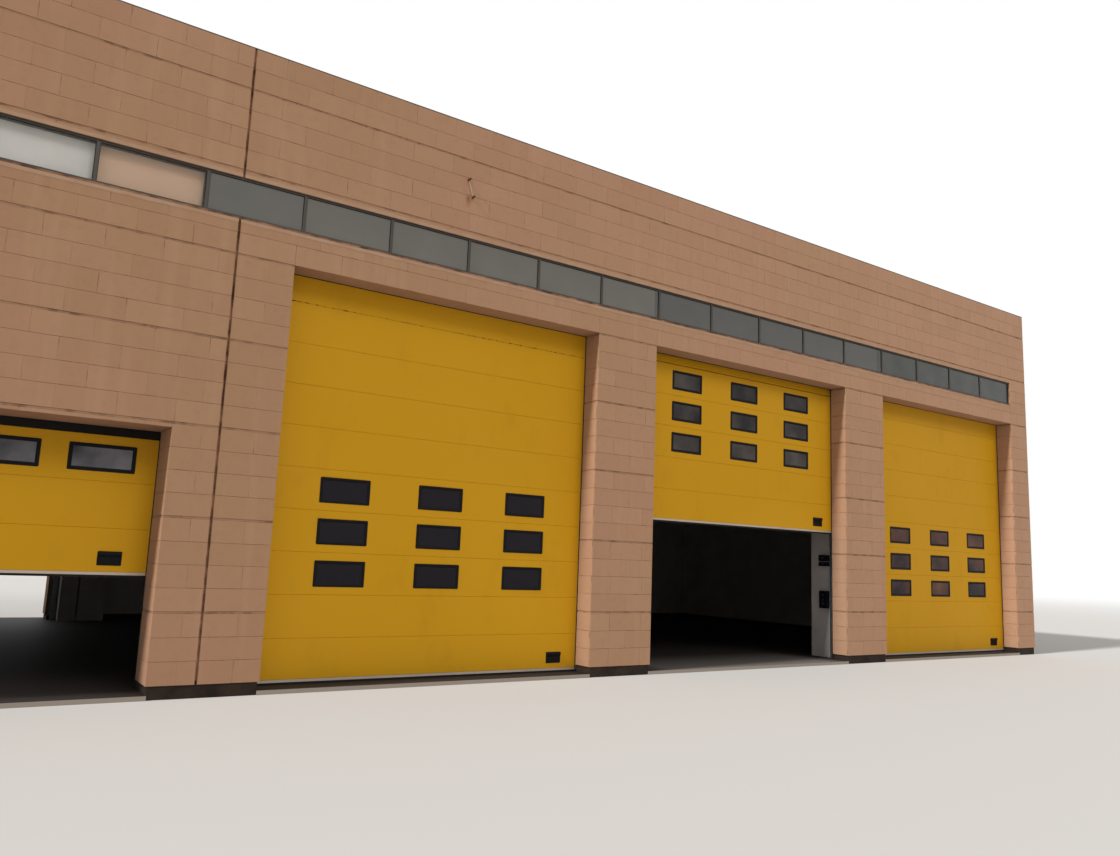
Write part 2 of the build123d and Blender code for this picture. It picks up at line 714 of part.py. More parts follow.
os.makedirs("parts", exist_ok=True)
for node, shape in all_nodes().items():
    solids = solids_of(shape)
    export_step(solids[0] if len(solids) == 1 else Compound(children=solids),
                "parts/" + node + ".step")
    print(node, len(solids))
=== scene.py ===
"""Fire station appliance hall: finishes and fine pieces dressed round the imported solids.

Metres, +Z up. The street front faces -Y, and x runs to the right along it.
"""
from __future__ import annotations

from dataclasses import dataclass, field
from enum import Enum
import logging
import math
import random

import bmesh
import bpy
from mathutils import Matrix, Vector


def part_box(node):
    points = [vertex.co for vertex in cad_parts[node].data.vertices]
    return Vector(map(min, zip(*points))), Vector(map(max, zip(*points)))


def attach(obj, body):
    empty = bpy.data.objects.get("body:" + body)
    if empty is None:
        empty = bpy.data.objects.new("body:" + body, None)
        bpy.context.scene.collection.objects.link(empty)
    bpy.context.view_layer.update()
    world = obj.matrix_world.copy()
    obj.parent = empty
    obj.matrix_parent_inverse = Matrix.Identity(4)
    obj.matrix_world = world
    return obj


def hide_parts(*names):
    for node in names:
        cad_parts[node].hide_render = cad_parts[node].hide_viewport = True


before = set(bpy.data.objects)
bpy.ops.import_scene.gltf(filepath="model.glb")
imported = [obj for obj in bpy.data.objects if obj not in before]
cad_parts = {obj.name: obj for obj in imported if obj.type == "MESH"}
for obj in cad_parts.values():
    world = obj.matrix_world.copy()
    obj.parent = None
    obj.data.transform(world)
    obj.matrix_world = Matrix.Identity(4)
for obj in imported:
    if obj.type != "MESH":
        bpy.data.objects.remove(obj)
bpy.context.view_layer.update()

log = logging.getLogger("fire_station")

BODY = "root"
MILLIMETRE = 0.001
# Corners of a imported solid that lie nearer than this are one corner
WELD = 0.0001
TILE_THICKNESS = 0.020
X_AXIS, Y_AXIS, Z_AXIS = Vector((1, 0, 0)), Vector((0, 1, 0)), Vector((0, 0, 1))
Place = Vector | tuple[float, float, float]

# Inputs of the colour form of Blender's Mix node
FACTOR, COLOUR_A, COLOUR_B = 0, 6, 7
# Bands of Blender's Wave texture repeat after this length at a scale of 1
WAVE_LENGTH = 2 * math.pi / 20


class Slot(Enum):
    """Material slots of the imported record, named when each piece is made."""

    STONE = "stone_cladding"
    GLASS = "grey_glass"
    SEALANT = "dark_sealant"
    CONCRETE = "painted_concrete"
    ROOF = "roof_concrete"
    PLASTIC = "black_plastic"
    RUST = "rusty_steel"
    RUBBER = "black_rubber"
    ZINC = "galvanised_steel"


def linear(colour: str) -> tuple[float, float, float, float]:
    """Turn an sRGB hex colour to linear light.

    Args:
        colour: Six hex digits after a hash sign.

    Returns:
        Linear red, green and blue, with an alpha of 1.
    """
    parts = [int(colour[place:place + 2], 16) / 255 for place in (1, 3, 5)]
    curve = [part / 12.92 if part <= 0.04045 else ((part + 0.055) / 1.055) ** 2.4
             for part in parts]
    return curve[0], curve[1], curve[2], 1.0


def per_metre(size_mm: float) -> float:
    """Texture scale at which one feature of a pattern measures a size in millimetres."""
    return 1 / (size_mm * MILLIMETRE)


class Recipe:
    """A node tree under construction, of a material or of the world."""

    def __init__(self, tree: bpy.types.NodeTree) -> None:
        """Start with an empty tree."""
        self.tree = tree
        self.tree.nodes.clear()

    def add(self, kind: str, inputs: dict | None = None, **settings: object) -> bpy.types.Node:
        """Add a node with its settings and links.

        Args:
            kind: Blender's name of the node type.
            inputs: What goes into it, as for feed.
            **settings: Properties of the node itself.

        Returns:
            The new node.
        """
        node = self.tree.nodes.new(kind)
        for key, value in settings.items():
            setattr(node, key, value)
        self.feed(node, inputs or {})
        return node

    def feed(self, node: bpy.types.Node, inputs: dict) -> None:
        """Set or link inputs of a node.

        Args:
            node: The node to feed.
            inputs: Values, hex colours, output sockets or whole nodes, which give their
                first open output, keyed by the input's name or number.
        """
        for key, value in inputs.items():
            if isinstance(value, bpy.types.Node):
                value = next(socket for socket in value.outputs if socket.enabled)
            if isinstance(value, bpy.types.NodeSocket):
                self.tree.links.new(value, node.inputs[key])
            else:
                node.inputs[key].default_value = (linear(value) if isinstance(value, str)
                                                  else value)

    def inside(self, ranges: list[tuple[object, float, float]]) -> bpy.types.Node:
        """Find how far a point lies inside several ranges at once.

        Args:
            ranges: Two or more, each as what it measures, the value just outside and the
                value well inside.

        Returns:
            A node that gives 1 well inside them all and 0 outside any.
        """
        shares = [self.add("ShaderNodeMapRange", {"Value": measure, "From Min": outside,
                                                  "From Max": inside})
                  for measure, outside, inside in ranges]
        product = shares[0]
        for share in shares[1:]:
            product = self.add("ShaderNodeMath", {0: product, 1: share}, operation="MULTIPLY")
        return product

    def shown(self) -> bpy.types.Node:
        """Find the rays that show a surface to the eye, straight or by a mirror or glass.

        Returns:
            A node that gives 1 for such rays and 0 for others.
        """
        path = self.add("ShaderNodeLightPath").outputs
        seen = self.add("ShaderNodeMath", {0: path["Is Camera Ray"], 1: path["Is Glossy Ray"]},
                        operation="MAXIMUM")
        return self.add("ShaderNodeMath", {0: seen, 1: path["Is Transmission Ray"]},
                        operation="MAXIMUM")


class SurfaceRecipe(Recipe):
    """A material under construction, with one Principled shader."""

    def __init__(self, name: str) -> None:
        """Start a plain material.

        Args:
            name: Name of the material.
        """
        self.material = bpy.data.materials.new(name)
        self.material.use_nodes = True
        super().__init__(self.material.node_tree)
        self.shader = self.add("ShaderNodeBsdfPrincipled")
        self.output = self.add("ShaderNodeOutputMaterial", {"Surface": self.shader})
        self.place = self.add("ShaderNodeTexCoord").outputs["Object"]
        self.axes = self.add("ShaderNodeSeparateXYZ", {"Vector": self.place}).outputs

    def source(self, name: str) -> bpy.types.NodeSocket:
        """Output that is linked to one of the shader's inputs."""
        return self.shader.inputs[name].links[0].from_socket


@dataclass(frozen=True)
class Finish:
    """What every finish has: a name, a colour and the typical values of its material."""

    name: str
    colour: str
    roughness: float = 0.5
    metallic: float = 0.0
    ior: float = 1.5
    specular: float = 0.5

    def build(self) -> bpy.types.Material:
        """Make the material.

        Returns:
            The finished Blender material.
        """
        recipe = SurfaceRecipe(self.name)
        recipe.feed(recipe.shader, {"Base Color": self.colour, "Roughness": self.roughness,
                                    "Metallic": self.metallic, "IOR": self.ior,
                                    "Specular IOR Level": self.specular})
        self.dress(recipe)
        return recipe.material

    def dress(self, recipe: SurfaceRecipe) -> None:
        """Add this finish's own pattern to a recipe."""


@dataclass(frozen=True)
class CastStone(Finish):
    """Cast stone tile, sandblasted: dead matt, gritty, each tile a little off the next.

    Its real grains, 1 to 2 mm across, are too fine to show, so they are drawn coarser. The
    bracket is the x of the wall bracket's right side and the z of its foot. Rust stains the
    tiles to a depth behind the front, and fades out at its reach.
    """

    name: str = "cast_stone_sandblasted_painted_light"
    colour: str = "#A07A5F"
    pink: str = "#9C755C"
    ochre: str = "#987557"
    painted_sunlight: str = "#AC866B"
    pale: str = "#B08C70"
    dark: str = "#8A684E"
    rust: str = "#7A4526"
    roughness: float = 0.92
    specular: float = 0.25
    patch_mm: float = 3200.0
    mottle_mm: float = 110.0
    grain_mm: float = 14.0
    streak_mm: float = 160.0
    streak_flatness: float = 0.06
    lighter_share: float = 0.12
    darker_share: float = 0.1
    mottle_share: float = 0.3
    painted_sunlight_share: float = 0.75
    painted_sunlight_from: float = -9.0
    painted_sunlight_to: float = 11.0
    front: float = -5.5
    front_depth: float = 0.5
    front_reach: float = 1.5
    bracket: tuple[float, float] = (-2.235, 6.355)
    stain_shift: float = 0.077
    stain_half_width: float = 0.06
    stain_drop: float = 0.16
    stain_rise: float = 0.06
    stain_fade: float = 0.02

    def dress(self, recipe: SurfaceRecipe) -> None:
        """Add drifts of colour, painted light that pales the wall toward its right end, tile
        tones, a gritty grain, washed streaks and a rust stain.

        Args:
            recipe: The recipe to add to.
        """
        add, place = recipe.add, recipe.place
        patch = add("ShaderNodeTexNoise", {"Vector": place, "Scale": per_metre(self.patch_mm),
                                           "Detail": 3.0})
        drift = add("ShaderNodeMapRange", {"Value": patch, "From Min": 0.35,
                                           "From Max": 0.65})
        # Painted light: the wall is painted paler toward its right end, where more light falls
        painted_sunlight_mask = add("ShaderNodeMapRange", {"Value": recipe.axes["X"],
                                            "From Min": self.painted_sunlight_from,
                                            "From Max": self.painted_sunlight_to,
                                            "To Max": self.painted_sunlight_share})
        tone = add("ShaderNodeAttribute", attribute_name="tone").outputs["Fac"]
        light = add("ShaderNodeMapRange", {"Value": tone, "From Min": 0.45,
                                           "To Max": self.lighter_share})
        shade = add("ShaderNodeMapRange", {"Value": tone, "From Min": 0.55, "From Max": 0.0,
                                           "To Max": self.darker_share})
        mottle = add("ShaderNodeTexNoise", {"Vector": place, "Scale": per_metre(self.mottle_mm),
                                            "Detail": 6.0, "Roughness": 0.65})
        speck = add("ShaderNodeMapRange", {"Value": mottle, "From Min": 0.5, "From Max": 0.75,
                                           "To Max": self.mottle_share})
        colour = self.pink
        for share, tint in ((drift, self.ochre), (painted_sunlight_mask, self.painted_sunlight), (light, self.pale),
                            (shade, self.dark), (speck, self.dark),
                            (self.streaks(recipe), self.pale), (self.stain(recipe), self.rust)):
            colour = add("ShaderNodeMix", {FACTOR: share, COLOUR_A: colour, COLOUR_B: tint},
                         data_type="RGBA")
        grain = add("ShaderNodeTexNoise", {"Vector": place, "Scale": per_metre(self.grain_mm),
                                           "Detail": 4.0, "Roughness": 0.7})
        bump = add("ShaderNodeBump", {"Height": grain, "Strength": 0.35, "Distance": 0.004})
        recipe.feed(recipe.shader, {"Base Color": colour, "Normal": bump})

    def streaks(self, recipe: SurfaceRecipe) -> bpy.types.Node:
        """Find where rain has washed faint streaks down the wall.

        Args:
            recipe: The recipe to add to.

        Returns:
            A node that gives their share.
        """
        drawn = recipe.add("ShaderNodeMapping", {"Vector": recipe.place,
                                                 "Scale": (1.0, 1.0, self.streak_flatness)})
        noise = recipe.add("ShaderNodeTexNoise", {"Vector": drawn,
                                                  "Scale": per_metre(self.streak_mm),
                                                  "Detail": 3.0})
        return recipe.add("ShaderNodeMapRange", {"Value": noise, "From Min": 0.52,
                                                 "From Max": 0.8, "To Max": 0.25})

    def stain(self, recipe: SurfaceRecipe) -> bpy.types.Node:
        """Find where rust has run down from the foot of the wall bracket.

        Args:
            recipe: The recipe to add to.

        Returns:
            A node that gives the rust's share.
        """
        add, axes = recipe.add, recipe.axes
        side, top = self.bracket
        off = add("ShaderNodeMath", {0: axes["X"], 1: side - self.stain_shift},
                  operation="SUBTRACT")
        away = add("ShaderNodeMath", {0: off}, operation="ABSOLUTE")
        across = add("ShaderNodeMapRange", {"Value": away, "From Min": self.stain_half_width,
                                            "From Max": 0.0}, interpolation_type="SMOOTHSTEP")
        spread = recipe.inside([(axes["Z"], top - self.stain_drop, top + self.stain_fade),
                                (axes["Z"], top + self.stain_rise, top - self.stain_fade),
                                (axes["Y"], self.front + self.front_reach,
                                 self.front + self.front_depth)])
        return add("ShaderNodeMath", {0: across, 1: spread}, operation="MULTIPLY")


@dataclass(frozen=True)
class Mottled(Finish):
    """A finish with one soft drift to a second colour and a fine relief.

    Where the real relief is too fine to show, it is drawn as coarse as it needs to show.
    """

    second: str = "#808080"
    drift_mm: float = 600.0
    drift_share: float = 0.6
    relief_mm: float = 8.0
    relief_depth: float = 0.002
    relief_strength: float = 0.3

    def dress(self, recipe: SurfaceRecipe) -> None:
        """Add the drift of colour and the relief.

        Args:
            recipe: The recipe to add to.
        """
        add, place = recipe.add, recipe.place
        drift = add("ShaderNodeTexNoise", {"Vector": place, "Scale": per_metre(self.drift_mm),
                                           "Detail": 6.0, "Roughness": 0.6})
        share = add("ShaderNodeMapRange", {"Value": drift, "From Min": 0.35, "From Max": 0.7,
                                           "To Max": self.drift_share})
        mixed = add("ShaderNodeMix", {FACTOR: share, COLOUR_A: self.colour,
                                      COLOUR_B: self.second}, data_type="RGBA")
        relief = add("ShaderNodeTexNoise", {"Vector": place, "Scale": per_metre(self.relief_mm),
                                            "Detail": 3.0})
        bump = add("ShaderNodeBump", {"Height": relief, "Strength": self.relief_strength,
                                      "Distance": self.relief_depth})
        recipe.feed(recipe.shader, {"Base Color": mixed, "Normal": bump})


@dataclass(frozen=True)
class Pointing(Finish):
    """Coloured cement pointing, tooled almost flush: hardly darker than the tiles, with patches
    of painted shade for gaps.
    """

    name: str = "flush_cement_pointing_painted_shade"
    colour: str = "#9A765C"
    gap: str = "#7C5D47"
    roughness: float = 0.95
    specular: float = 0.2
    gap_shade_mm: float = 170.0

    def dress(self, recipe: SurfaceRecipe) -> None:
        """Add darker patches, painted shade that stands for gaps in the pointing.

        Args:
            recipe: The recipe to add to.
        """
        add = recipe.add
        noise = add("ShaderNodeTexNoise", {"Vector": recipe.place,
                                           "Scale": per_metre(self.gap_shade_mm),
                                           "Detail": 5.0, "Roughness": 0.6})
        share = add("ShaderNodeMapRange", {"Value": noise, "From Min": 0.5,
                                           "From Max": 0.66})
        # Painted shade: the gap colour darkens the pointing in patches where gaps would be in
        # shade
        mixed = add("ShaderNodeMix", {FACTOR: share, COLOUR_A: self.colour,
                                      COLOUR_B: self.gap}, data_type="RGBA")
        bump = add("ShaderNodeBump", {"Height": noise, "Strength": 0.3, "Distance": 0.003})
        recipe.feed(recipe.shader, {"Base Color": mixed, "Normal": bump})


@dataclass(frozen=True)
class FormedConcrete(Mottled):
    """Concrete cast against panels: grey, matt, with the panels' faint joints across it."""

    name: str = "formed_concrete"
    colour: str = "#AEA7A1"
    second: str = "#928B86"
    roughness: float = 0.9
    panel_mm: float = 942.5

    def dress(self, recipe: SurfaceRecipe) -> None:
        """Add the panels' joints over the drift of colour.

        Args:
            recipe: The recipe to add to.
        """
        super().dress(recipe)
        panels = recipe.add("ShaderNodeTexWave", {"Vector": recipe.place,
                                                  "Scale": (WAVE_LENGTH
                                                            * per_metre(self.panel_mm)),
                                                  "Distortion": 0.6},
                            bands_direction="Z", wave_profile="SAW")
        ridge = recipe.add("ShaderNodeBump", {"Height": panels.outputs["Fac"], "Strength": 0.4,
                                              "Distance": 0.003,
                                              "Normal": recipe.source("Normal")})
        recipe.feed(recipe.shader, {"Normal": ridge})


@dataclass(frozen=True)
class FloatedFloor(Mottled):
    """Concrete floor, power-floated: near black, painted shade of the unlit hall, with painted
    daylight lying grey inside the open doors.

    Each stretch of painted daylight is where it starts and ends along the building, and how
    much of the floor's colour it hides there at most. It lies full at a depth behind the slab's
    front, and fades out at its reach and toward both sides.
    """

    name: str = "floated_concrete_painted_shade"
    # Painted shade: the floor's near-black colours stand for the unlit hall
    colour: str = "#1E1714"
    second: str = "#171210"
    dust_and_painted_light: str = "#5C5651"
    nosing: str = "#8C8176"
    roughness: float = 0.65
    specular: float = 0.25
    drift_mm: float = 1500.0
    top: float = 0.05
    front: float = -5.5
    arris: float = 0.002
    painted_daylight_depth: float = 0.2
    painted_daylight_reach: float = 1.6
    painted_daylight_side: float = 0.5
    painted_daylight_stretches: tuple[tuple[float, float, float], ...] = ()

    def dress(self, recipe: SurfaceRecipe) -> None:
        """Give the slab's edge a mid grey, and paint daylight over its top inside the open
        doors.

        Args:
            recipe: The recipe to add to.
        """
        super().dress(recipe)
        add, axes = recipe.add, recipe.axes
        edge = add("ShaderNodeMath", {0: axes["Z"], 1: self.top - self.arris},
                   operation="LESS_THAN")
        layers = []
        # Painted daylight: grey pools over the dark floor just inside the open doors
        for start, end, most in self.painted_daylight_stretches:
            painted_daylight_mask = recipe.inside([(axes["X"], start, start + self.painted_daylight_side),
                                   (axes["X"], end, end - self.painted_daylight_side),
                                   (axes["Y"], self.front + self.painted_daylight_reach,
                                    self.front + self.painted_daylight_depth)])
            thin = add("ShaderNodeMath", {0: painted_daylight_mask, 1: most}, operation="MULTIPLY")
            layers.append((thin, self.dust_and_painted_light))
        colour = recipe.source("Base Color")
        for share, tint in layers + [(edge, self.nosing)]:
            colour = add("ShaderNodeMix", {FACTOR: share, COLOUR_A: colour, COLOUR_B: tint},
                         data_type="RGBA")
        recipe.feed(recipe.shader, {"Base Color": colour})


@dataclass(frozen=True)
class CoilCoat(Finish):
    """Steel sheet with a polyester coil coating: even yellow, satin, lightly embossed.

    The seam is where the specked one starts and ends along the building.
    """

    name: str = "polyester_coil_coat"
    colour: str = "#BC8A13"
    faded: str = "#C08E20"
    grime: str = "#8C661A"
    speck: str = "#5E4620"
    roughness: float = 0.45
    specular: float = 0.06
    fade_mm: float = 1800.0
    smudge_mm: float = 420.0
    smudge_flatness: float = 0.5
    emboss_mm: float = 9.0
    speck_mm: float = 55.0
    seam: tuple[float, float] = (-4.55, -0.04)
    seam_height: float = 4.57
    seam_reach: float = 0.011

    def dress(self, recipe: SurfaceRecipe) -> None:
        """Add slow fading, faint smudges, specks along one seam and the stucco embossing.

        Args:
            recipe: The recipe to add to.
        """
        add, place = recipe.add, recipe.place
        fade = add("ShaderNodeTexNoise", {"Vector": place, "Scale": per_metre(self.fade_mm),
                                          "Detail": 4.0})
        drawn = add("ShaderNodeMapping", {"Vector": place,
                                          "Scale": (1.0, 1.0, self.smudge_flatness)})
        smudge = add("ShaderNodeTexNoise", {"Vector": drawn, "Scale": per_metre(self.smudge_mm),
                                            "Detail": 7.0, "Roughness": 0.62})
        dirty = add("ShaderNodeMapRange", {"Value": smudge, "From Min": 0.55, "From Max": 0.8,
                                           "To Max": 0.22})
        colour = self.colour
        for share, tint in ((fade, self.faded), (dirty, self.grime),
                            (self.seam_specks(recipe), self.speck)):
            colour = add("ShaderNodeMix", {FACTOR: share, COLOUR_A: colour, COLOUR_B: tint},
                         data_type="RGBA")
        emboss = add("ShaderNodeTexVoronoi", {"Vector": place,
                                              "Scale": per_metre(self.emboss_mm)})
        bump = add("ShaderNodeBump", {"Height": emboss, "Strength": 0.12, "Distance": 0.0008})
        gloss = add("ShaderNodeMapRange", {"Value": smudge, "To Min": 0.36, "To Max": 0.55})
        recipe.feed(recipe.shader, {"Base Color": colour, "Roughness": gloss, "Normal": bump})

    def seam_specks(self, recipe: SurfaceRecipe) -> bpy.types.Node:
        """Find where dirt clings along the top seam of the second door.

        Args:
            recipe: The recipe to add to.

        Returns:
            A node that gives the share of dirt.
        """
        add, axes = recipe.add, recipe.axes
        off = add("ShaderNodeMath", {0: axes["Z"], 1: self.seam_height}, operation="SUBTRACT")
        away = add("ShaderNodeMath", {0: off}, operation="ABSOLUTE")
        spots = add("ShaderNodeTexNoise", {"Vector": recipe.place,
                                           "Scale": per_metre(self.speck_mm)})
        share = recipe.inside([(away, self.seam_reach, self.seam_reach / 3),
                               (spots, 0.5, 0.62)])
        for operation, end in zip(("GREATER_THAN", "LESS_THAN"), self.seam):
            along = add("ShaderNodeMath", {0: axes["X"], 1: end}, operation=operation)
            share = add("ShaderNodeMath", {0: share, 1: along}, operation="MULTIPLY")
        return share


@dataclass(frozen=True)
class Glass(Finish):
    """Glass or acrylic sheet: glossy over its tint, partly clear, under films of dust and of
    painted reflection.

    Each film is where it starts along the building, how much of the tint it hides at most,
    and its colour. The evenness is the part of that which it hides everywhere.
    """

    dust_and_reflection_films: tuple[tuple[float, float, str], ...] = ((0.0, 0.25, "#8C8378"),)
    evenness: float = 0.0
    alpha: float = 0.9
    dust_mm: float = 500.0
    dulling: float = 0.15
    reach: float = 12.0

    def dress(self, recipe: SurfaceRecipe) -> None:
        """Let part of the light through and add drifts of dust and painted reflection, which
        dull the gloss.

        Args:
            recipe: The recipe to add to.
        """
        add = recipe.add
        dust_and_painted_light = add("ShaderNodeTexNoise", {"Vector": recipe.place,
                                          "Scale": per_metre(self.dust_mm), "Detail": 6.0})
        along = add("ShaderNodeMapRange", {"Value": recipe.axes["X"],
                                           "From Min": -self.reach,
                                           "From Max": self.reach})
        ramp = add("ShaderNodeValToRGB", {0: along})
        ramp.color_ramp.interpolation = "CONSTANT"
        stops = ramp.color_ramp.elements
        stops.remove(stops[-1])
        for number, (start, most, colour) in enumerate(self.dust_and_reflection_films):
            place = (start + self.reach) / (2 * self.reach)
            stop = stops.new(place) if number else stops[0]
            stop.color = (*linear(colour)[:3], most)
        most = ramp.outputs["Alpha"]
        least = add("ShaderNodeMath", {0: most, 1: self.evenness}, operation="MULTIPLY")
        share = add("ShaderNodeMapRange", {"Value": dust_and_painted_light, "From Min": 0.35, "From Max": 0.75,
                                           "To Min": least, "To Max": most})
        film = add("ShaderNodeMix", {FACTOR: share, COLOUR_A: self.colour, COLOUR_B: ramp},
                   data_type="RGBA")
        gloss = add("ShaderNodeMapRange", {"Value": dust_and_painted_light, "From Min": 0.3, "From Max": 0.75,
                                           "To Min": self.roughness,
                                           "To Max": self.roughness + self.dulling})
        recipe.feed(recipe.shader, {"Base Color": film, "Alpha": self.alpha,
                                    "Roughness": gloss})


@dataclass(frozen=True)
class ZincCoat(Finish):
    """Hot-dip galvanised steel: grey metal with flat crystals of spangle."""

    name: str = "galvanised_steel"
    colour: str = "#8E9192"
    second: str = "#6F7375"
    roughness: float = 0.45
    metallic: float = 0.85
    spangle_mm: float = 18.0

    def dress(self, recipe: SurfaceRecipe) -> None:
        """Add spangle to the colour and the gloss.

        Args:
            recipe: The recipe to add to.
        """
        add = recipe.add
        cells = add("ShaderNodeTexVoronoi", {"Vector": recipe.place,
                                             "Scale": per_metre(self.spangle_mm)})
        level = add("ShaderNodeSeparateColor", {0: cells.outputs["Color"]}).outputs
        mixed = add("ShaderNodeMix", {FACTOR: level["Red"], COLOUR_A: self.colour,
                                      COLOUR_B: self.second}, data_type="RGBA")
        gloss = add("ShaderNodeMapRange", {"Value": level["Green"], "To Min": 0.35,
                                           "To Max": 0.6})
        recipe.feed(recipe.shader, {"Base Color": mixed, "Roughness": gloss})


@dataclass(frozen=True)
class Box:
    """A block of space between a lowest and a highest corner."""

    low: Vector
    high: Vector

    @classmethod
    def of(cls, node: str) -> Box:
        """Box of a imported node."""
        return cls(*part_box(node))

    @classmethod
    def around(cls, places: list[Vector]) -> Box:
        """Smallest box that holds every point."""
        return cls(Vector(min(place[axis] for place in places) for axis in range(3)),
                   Vector(max(place[axis] for place in places) for axis in range(3)))

    @property
    def middle(self) -> Vector:
        """Point half way between the corners."""
        return (self.low + self.high) / 2

    def depths(self) -> tuple[float, float, float]:
        """Find the two depths of a piece on the front or the rear of the building.

        Returns:
            The y on the hall's side, the y on the open side, and the sign of the way out.
        """
        if self.low.y < 0:
            return self.high.y, self.low.y, -1.0
        return self.low.y, self.high.y, 1.0

    def outline(self, y: float, inset: float) -> list[Place]:
        """Draw the box as it is seen along Y, set in from its edges.

        Args:
            y: Where the outline lies.
            inset: How far it lies inside the box.

        Returns:
            Its four corners.
        """
        x0, x1 = self.low.x + inset, self.high.x - inset
        z0, z1 = self.low.z + inset, self.high.z - inset
        return [(x0, y, z0), (x1, y, z0), (x1, y, z1), (x0, y, z1)]


def solids_of(node: str) -> list[Box]:
    """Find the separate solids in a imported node.

    Args:
        node: Name of the node.

    Returns:
        One box for each solid, in order of their lowest corners.
    """
    mesh = bmesh.new()
    mesh.from_mesh(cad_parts[node].data)
    bmesh.ops.remove_doubles(mesh, verts=mesh.verts, dist=WELD)
    unseen = set(mesh.verts)
    boxes = []
    while unseen:
        reached = [unseen.pop()]
        for vertex in reached:
            near = {edge.other_vert(vertex) for edge in vertex.link_edges} & unseen
            unseen -= near
            reached.extend(near)
        boxes.append(Box.around([vertex.co for vertex in reached]))
    mesh.free()
    return sorted(boxes, key=lambda box: tuple(box.low))


class Shape:
    """A mesh under construction, in the building's frame, with the finishes of its faces."""

    def __init__(self, *finishes: bpy.types.Material) -> None:
        """Start with no faces.

        Args:
            *finishes: The finishes that its faces can take.
        """
        self.finishes = finishes
        self.mesh = bmesh.new()
        self.tone = self.mesh.verts.layers.float.new("tone")

    def number(self, finish: bpy.types.Material | None) -> int:
        """Number of a finish in this shape, which is the first one for None."""
        return 0 if finish is None else self.finishes.index(finish)

    def corners(self, places: list[Place], tone: float) -> list[bmesh.types.BMVert]:
        """Add vertices.

        Args:
            places: Their coordinates.
            tone: A value from 0 to 1 that finishes read to tell pieces apart.

        Returns:
            The new vertices.
        """
        made = [self.mesh.verts.new(place) for place in places]
        for vertex in made:
            vertex[self.tone] = tone
        return made

    def rings(self, loops: list[list[Place]], closed: bool = False,
              finish: bpy.types.Material | None = None, tone: float = 0.5) -> None:
        """Join loops of points, all as long, with a skin of quads.

        Args:
            loops: Lists of points, in order along the piece.
            closed: Whether the last loop joins the first. The ends are filled otherwise.
            finish: The finish that the faces take, or None for the shape's first.
            tone: A value from 0 to 1 that finishes read to tell pieces apart.
        """
        made = [self.corners(loop, tone) for loop in loops]
        faces = []
        for near, far in zip(made, made[1:] + made[:1] if closed else made[1:]):
            for number, corner in enumerate(near):
                after = (number + 1) % len(near)
                faces.append(self.mesh.faces.new((corner, near[after], far[after],
                                                  far[number])))
        if not closed:
            faces.append(self.mesh.faces.new(made[0][::-1]))
            faces.append(self.mesh.faces.new(made[-1]))
        for face in faces:
            face.material_index = self.number(finish)

    def block(self, low: Vector, high: Vector, chamfer: float = 0.0,
              finish: bpy.types.Material | None = None) -> None:
        """Add a block with chamfered edges.

        Args:
            low: Lowest corner.
            high: Highest corner.
            chamfer: Width of the chamfers, where 0 leaves sharp edges.
            finish: The finish that the faces take, or None for the shape's first.
        """
        levels = [(low[2], chamfer), (high[2], chamfer)]
        if chamfer:
            levels[1:1] = [(low[2] + chamfer, 0.0), (high[2] - chamfer, 0.0)]
        loops = []
        for z, inset in levels:
            x0, y0, x1, y1 = low[0] + inset, low[1] + inset, high[0] - inset, high[1] - inset
            loop = [(x0 + chamfer, y0, z), (x1 - chamfer, y0, z), (x1, y0 + chamfer, z),
                    (x1, y1 - chamfer, z), (x1 - chamfer, y1, z), (x0 + chamfer, y1, z),
                    (x0, y1 - chamfer, z), (x0, y0 + chamfer, z)]
            loops.append(loop if chamfer else loop[::2])
        self.rings(loops, finish=finish)

    def piece(self, name: str, slot: Slot, replaces: tuple[str, ...] = ()) -> bpy.types.Object:
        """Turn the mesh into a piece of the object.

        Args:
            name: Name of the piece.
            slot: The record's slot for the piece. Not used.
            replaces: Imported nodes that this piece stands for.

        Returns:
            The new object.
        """
        bmesh.ops.recalc_face_normals(self.mesh, faces=self.mesh.faces)
        data = bpy.data.meshes.new(name)
        self.mesh.to_mesh(data)
        self.mesh.free()
        for finish in self.finishes:
            data.materials.append(finish)
        piece = bpy.data.objects.new(name, data)
        bpy.context.scene.collection.objects.link(piece)
        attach(piece, BODY)
        if replaces:
            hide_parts(*replaces)
        return piece


@dataclass(frozen=True)
class Opening:
    """A rectangle along and up one side of the building: an opening, a tile or a run of them."""

    start: float
    end: float
    bottom: float
    top: float


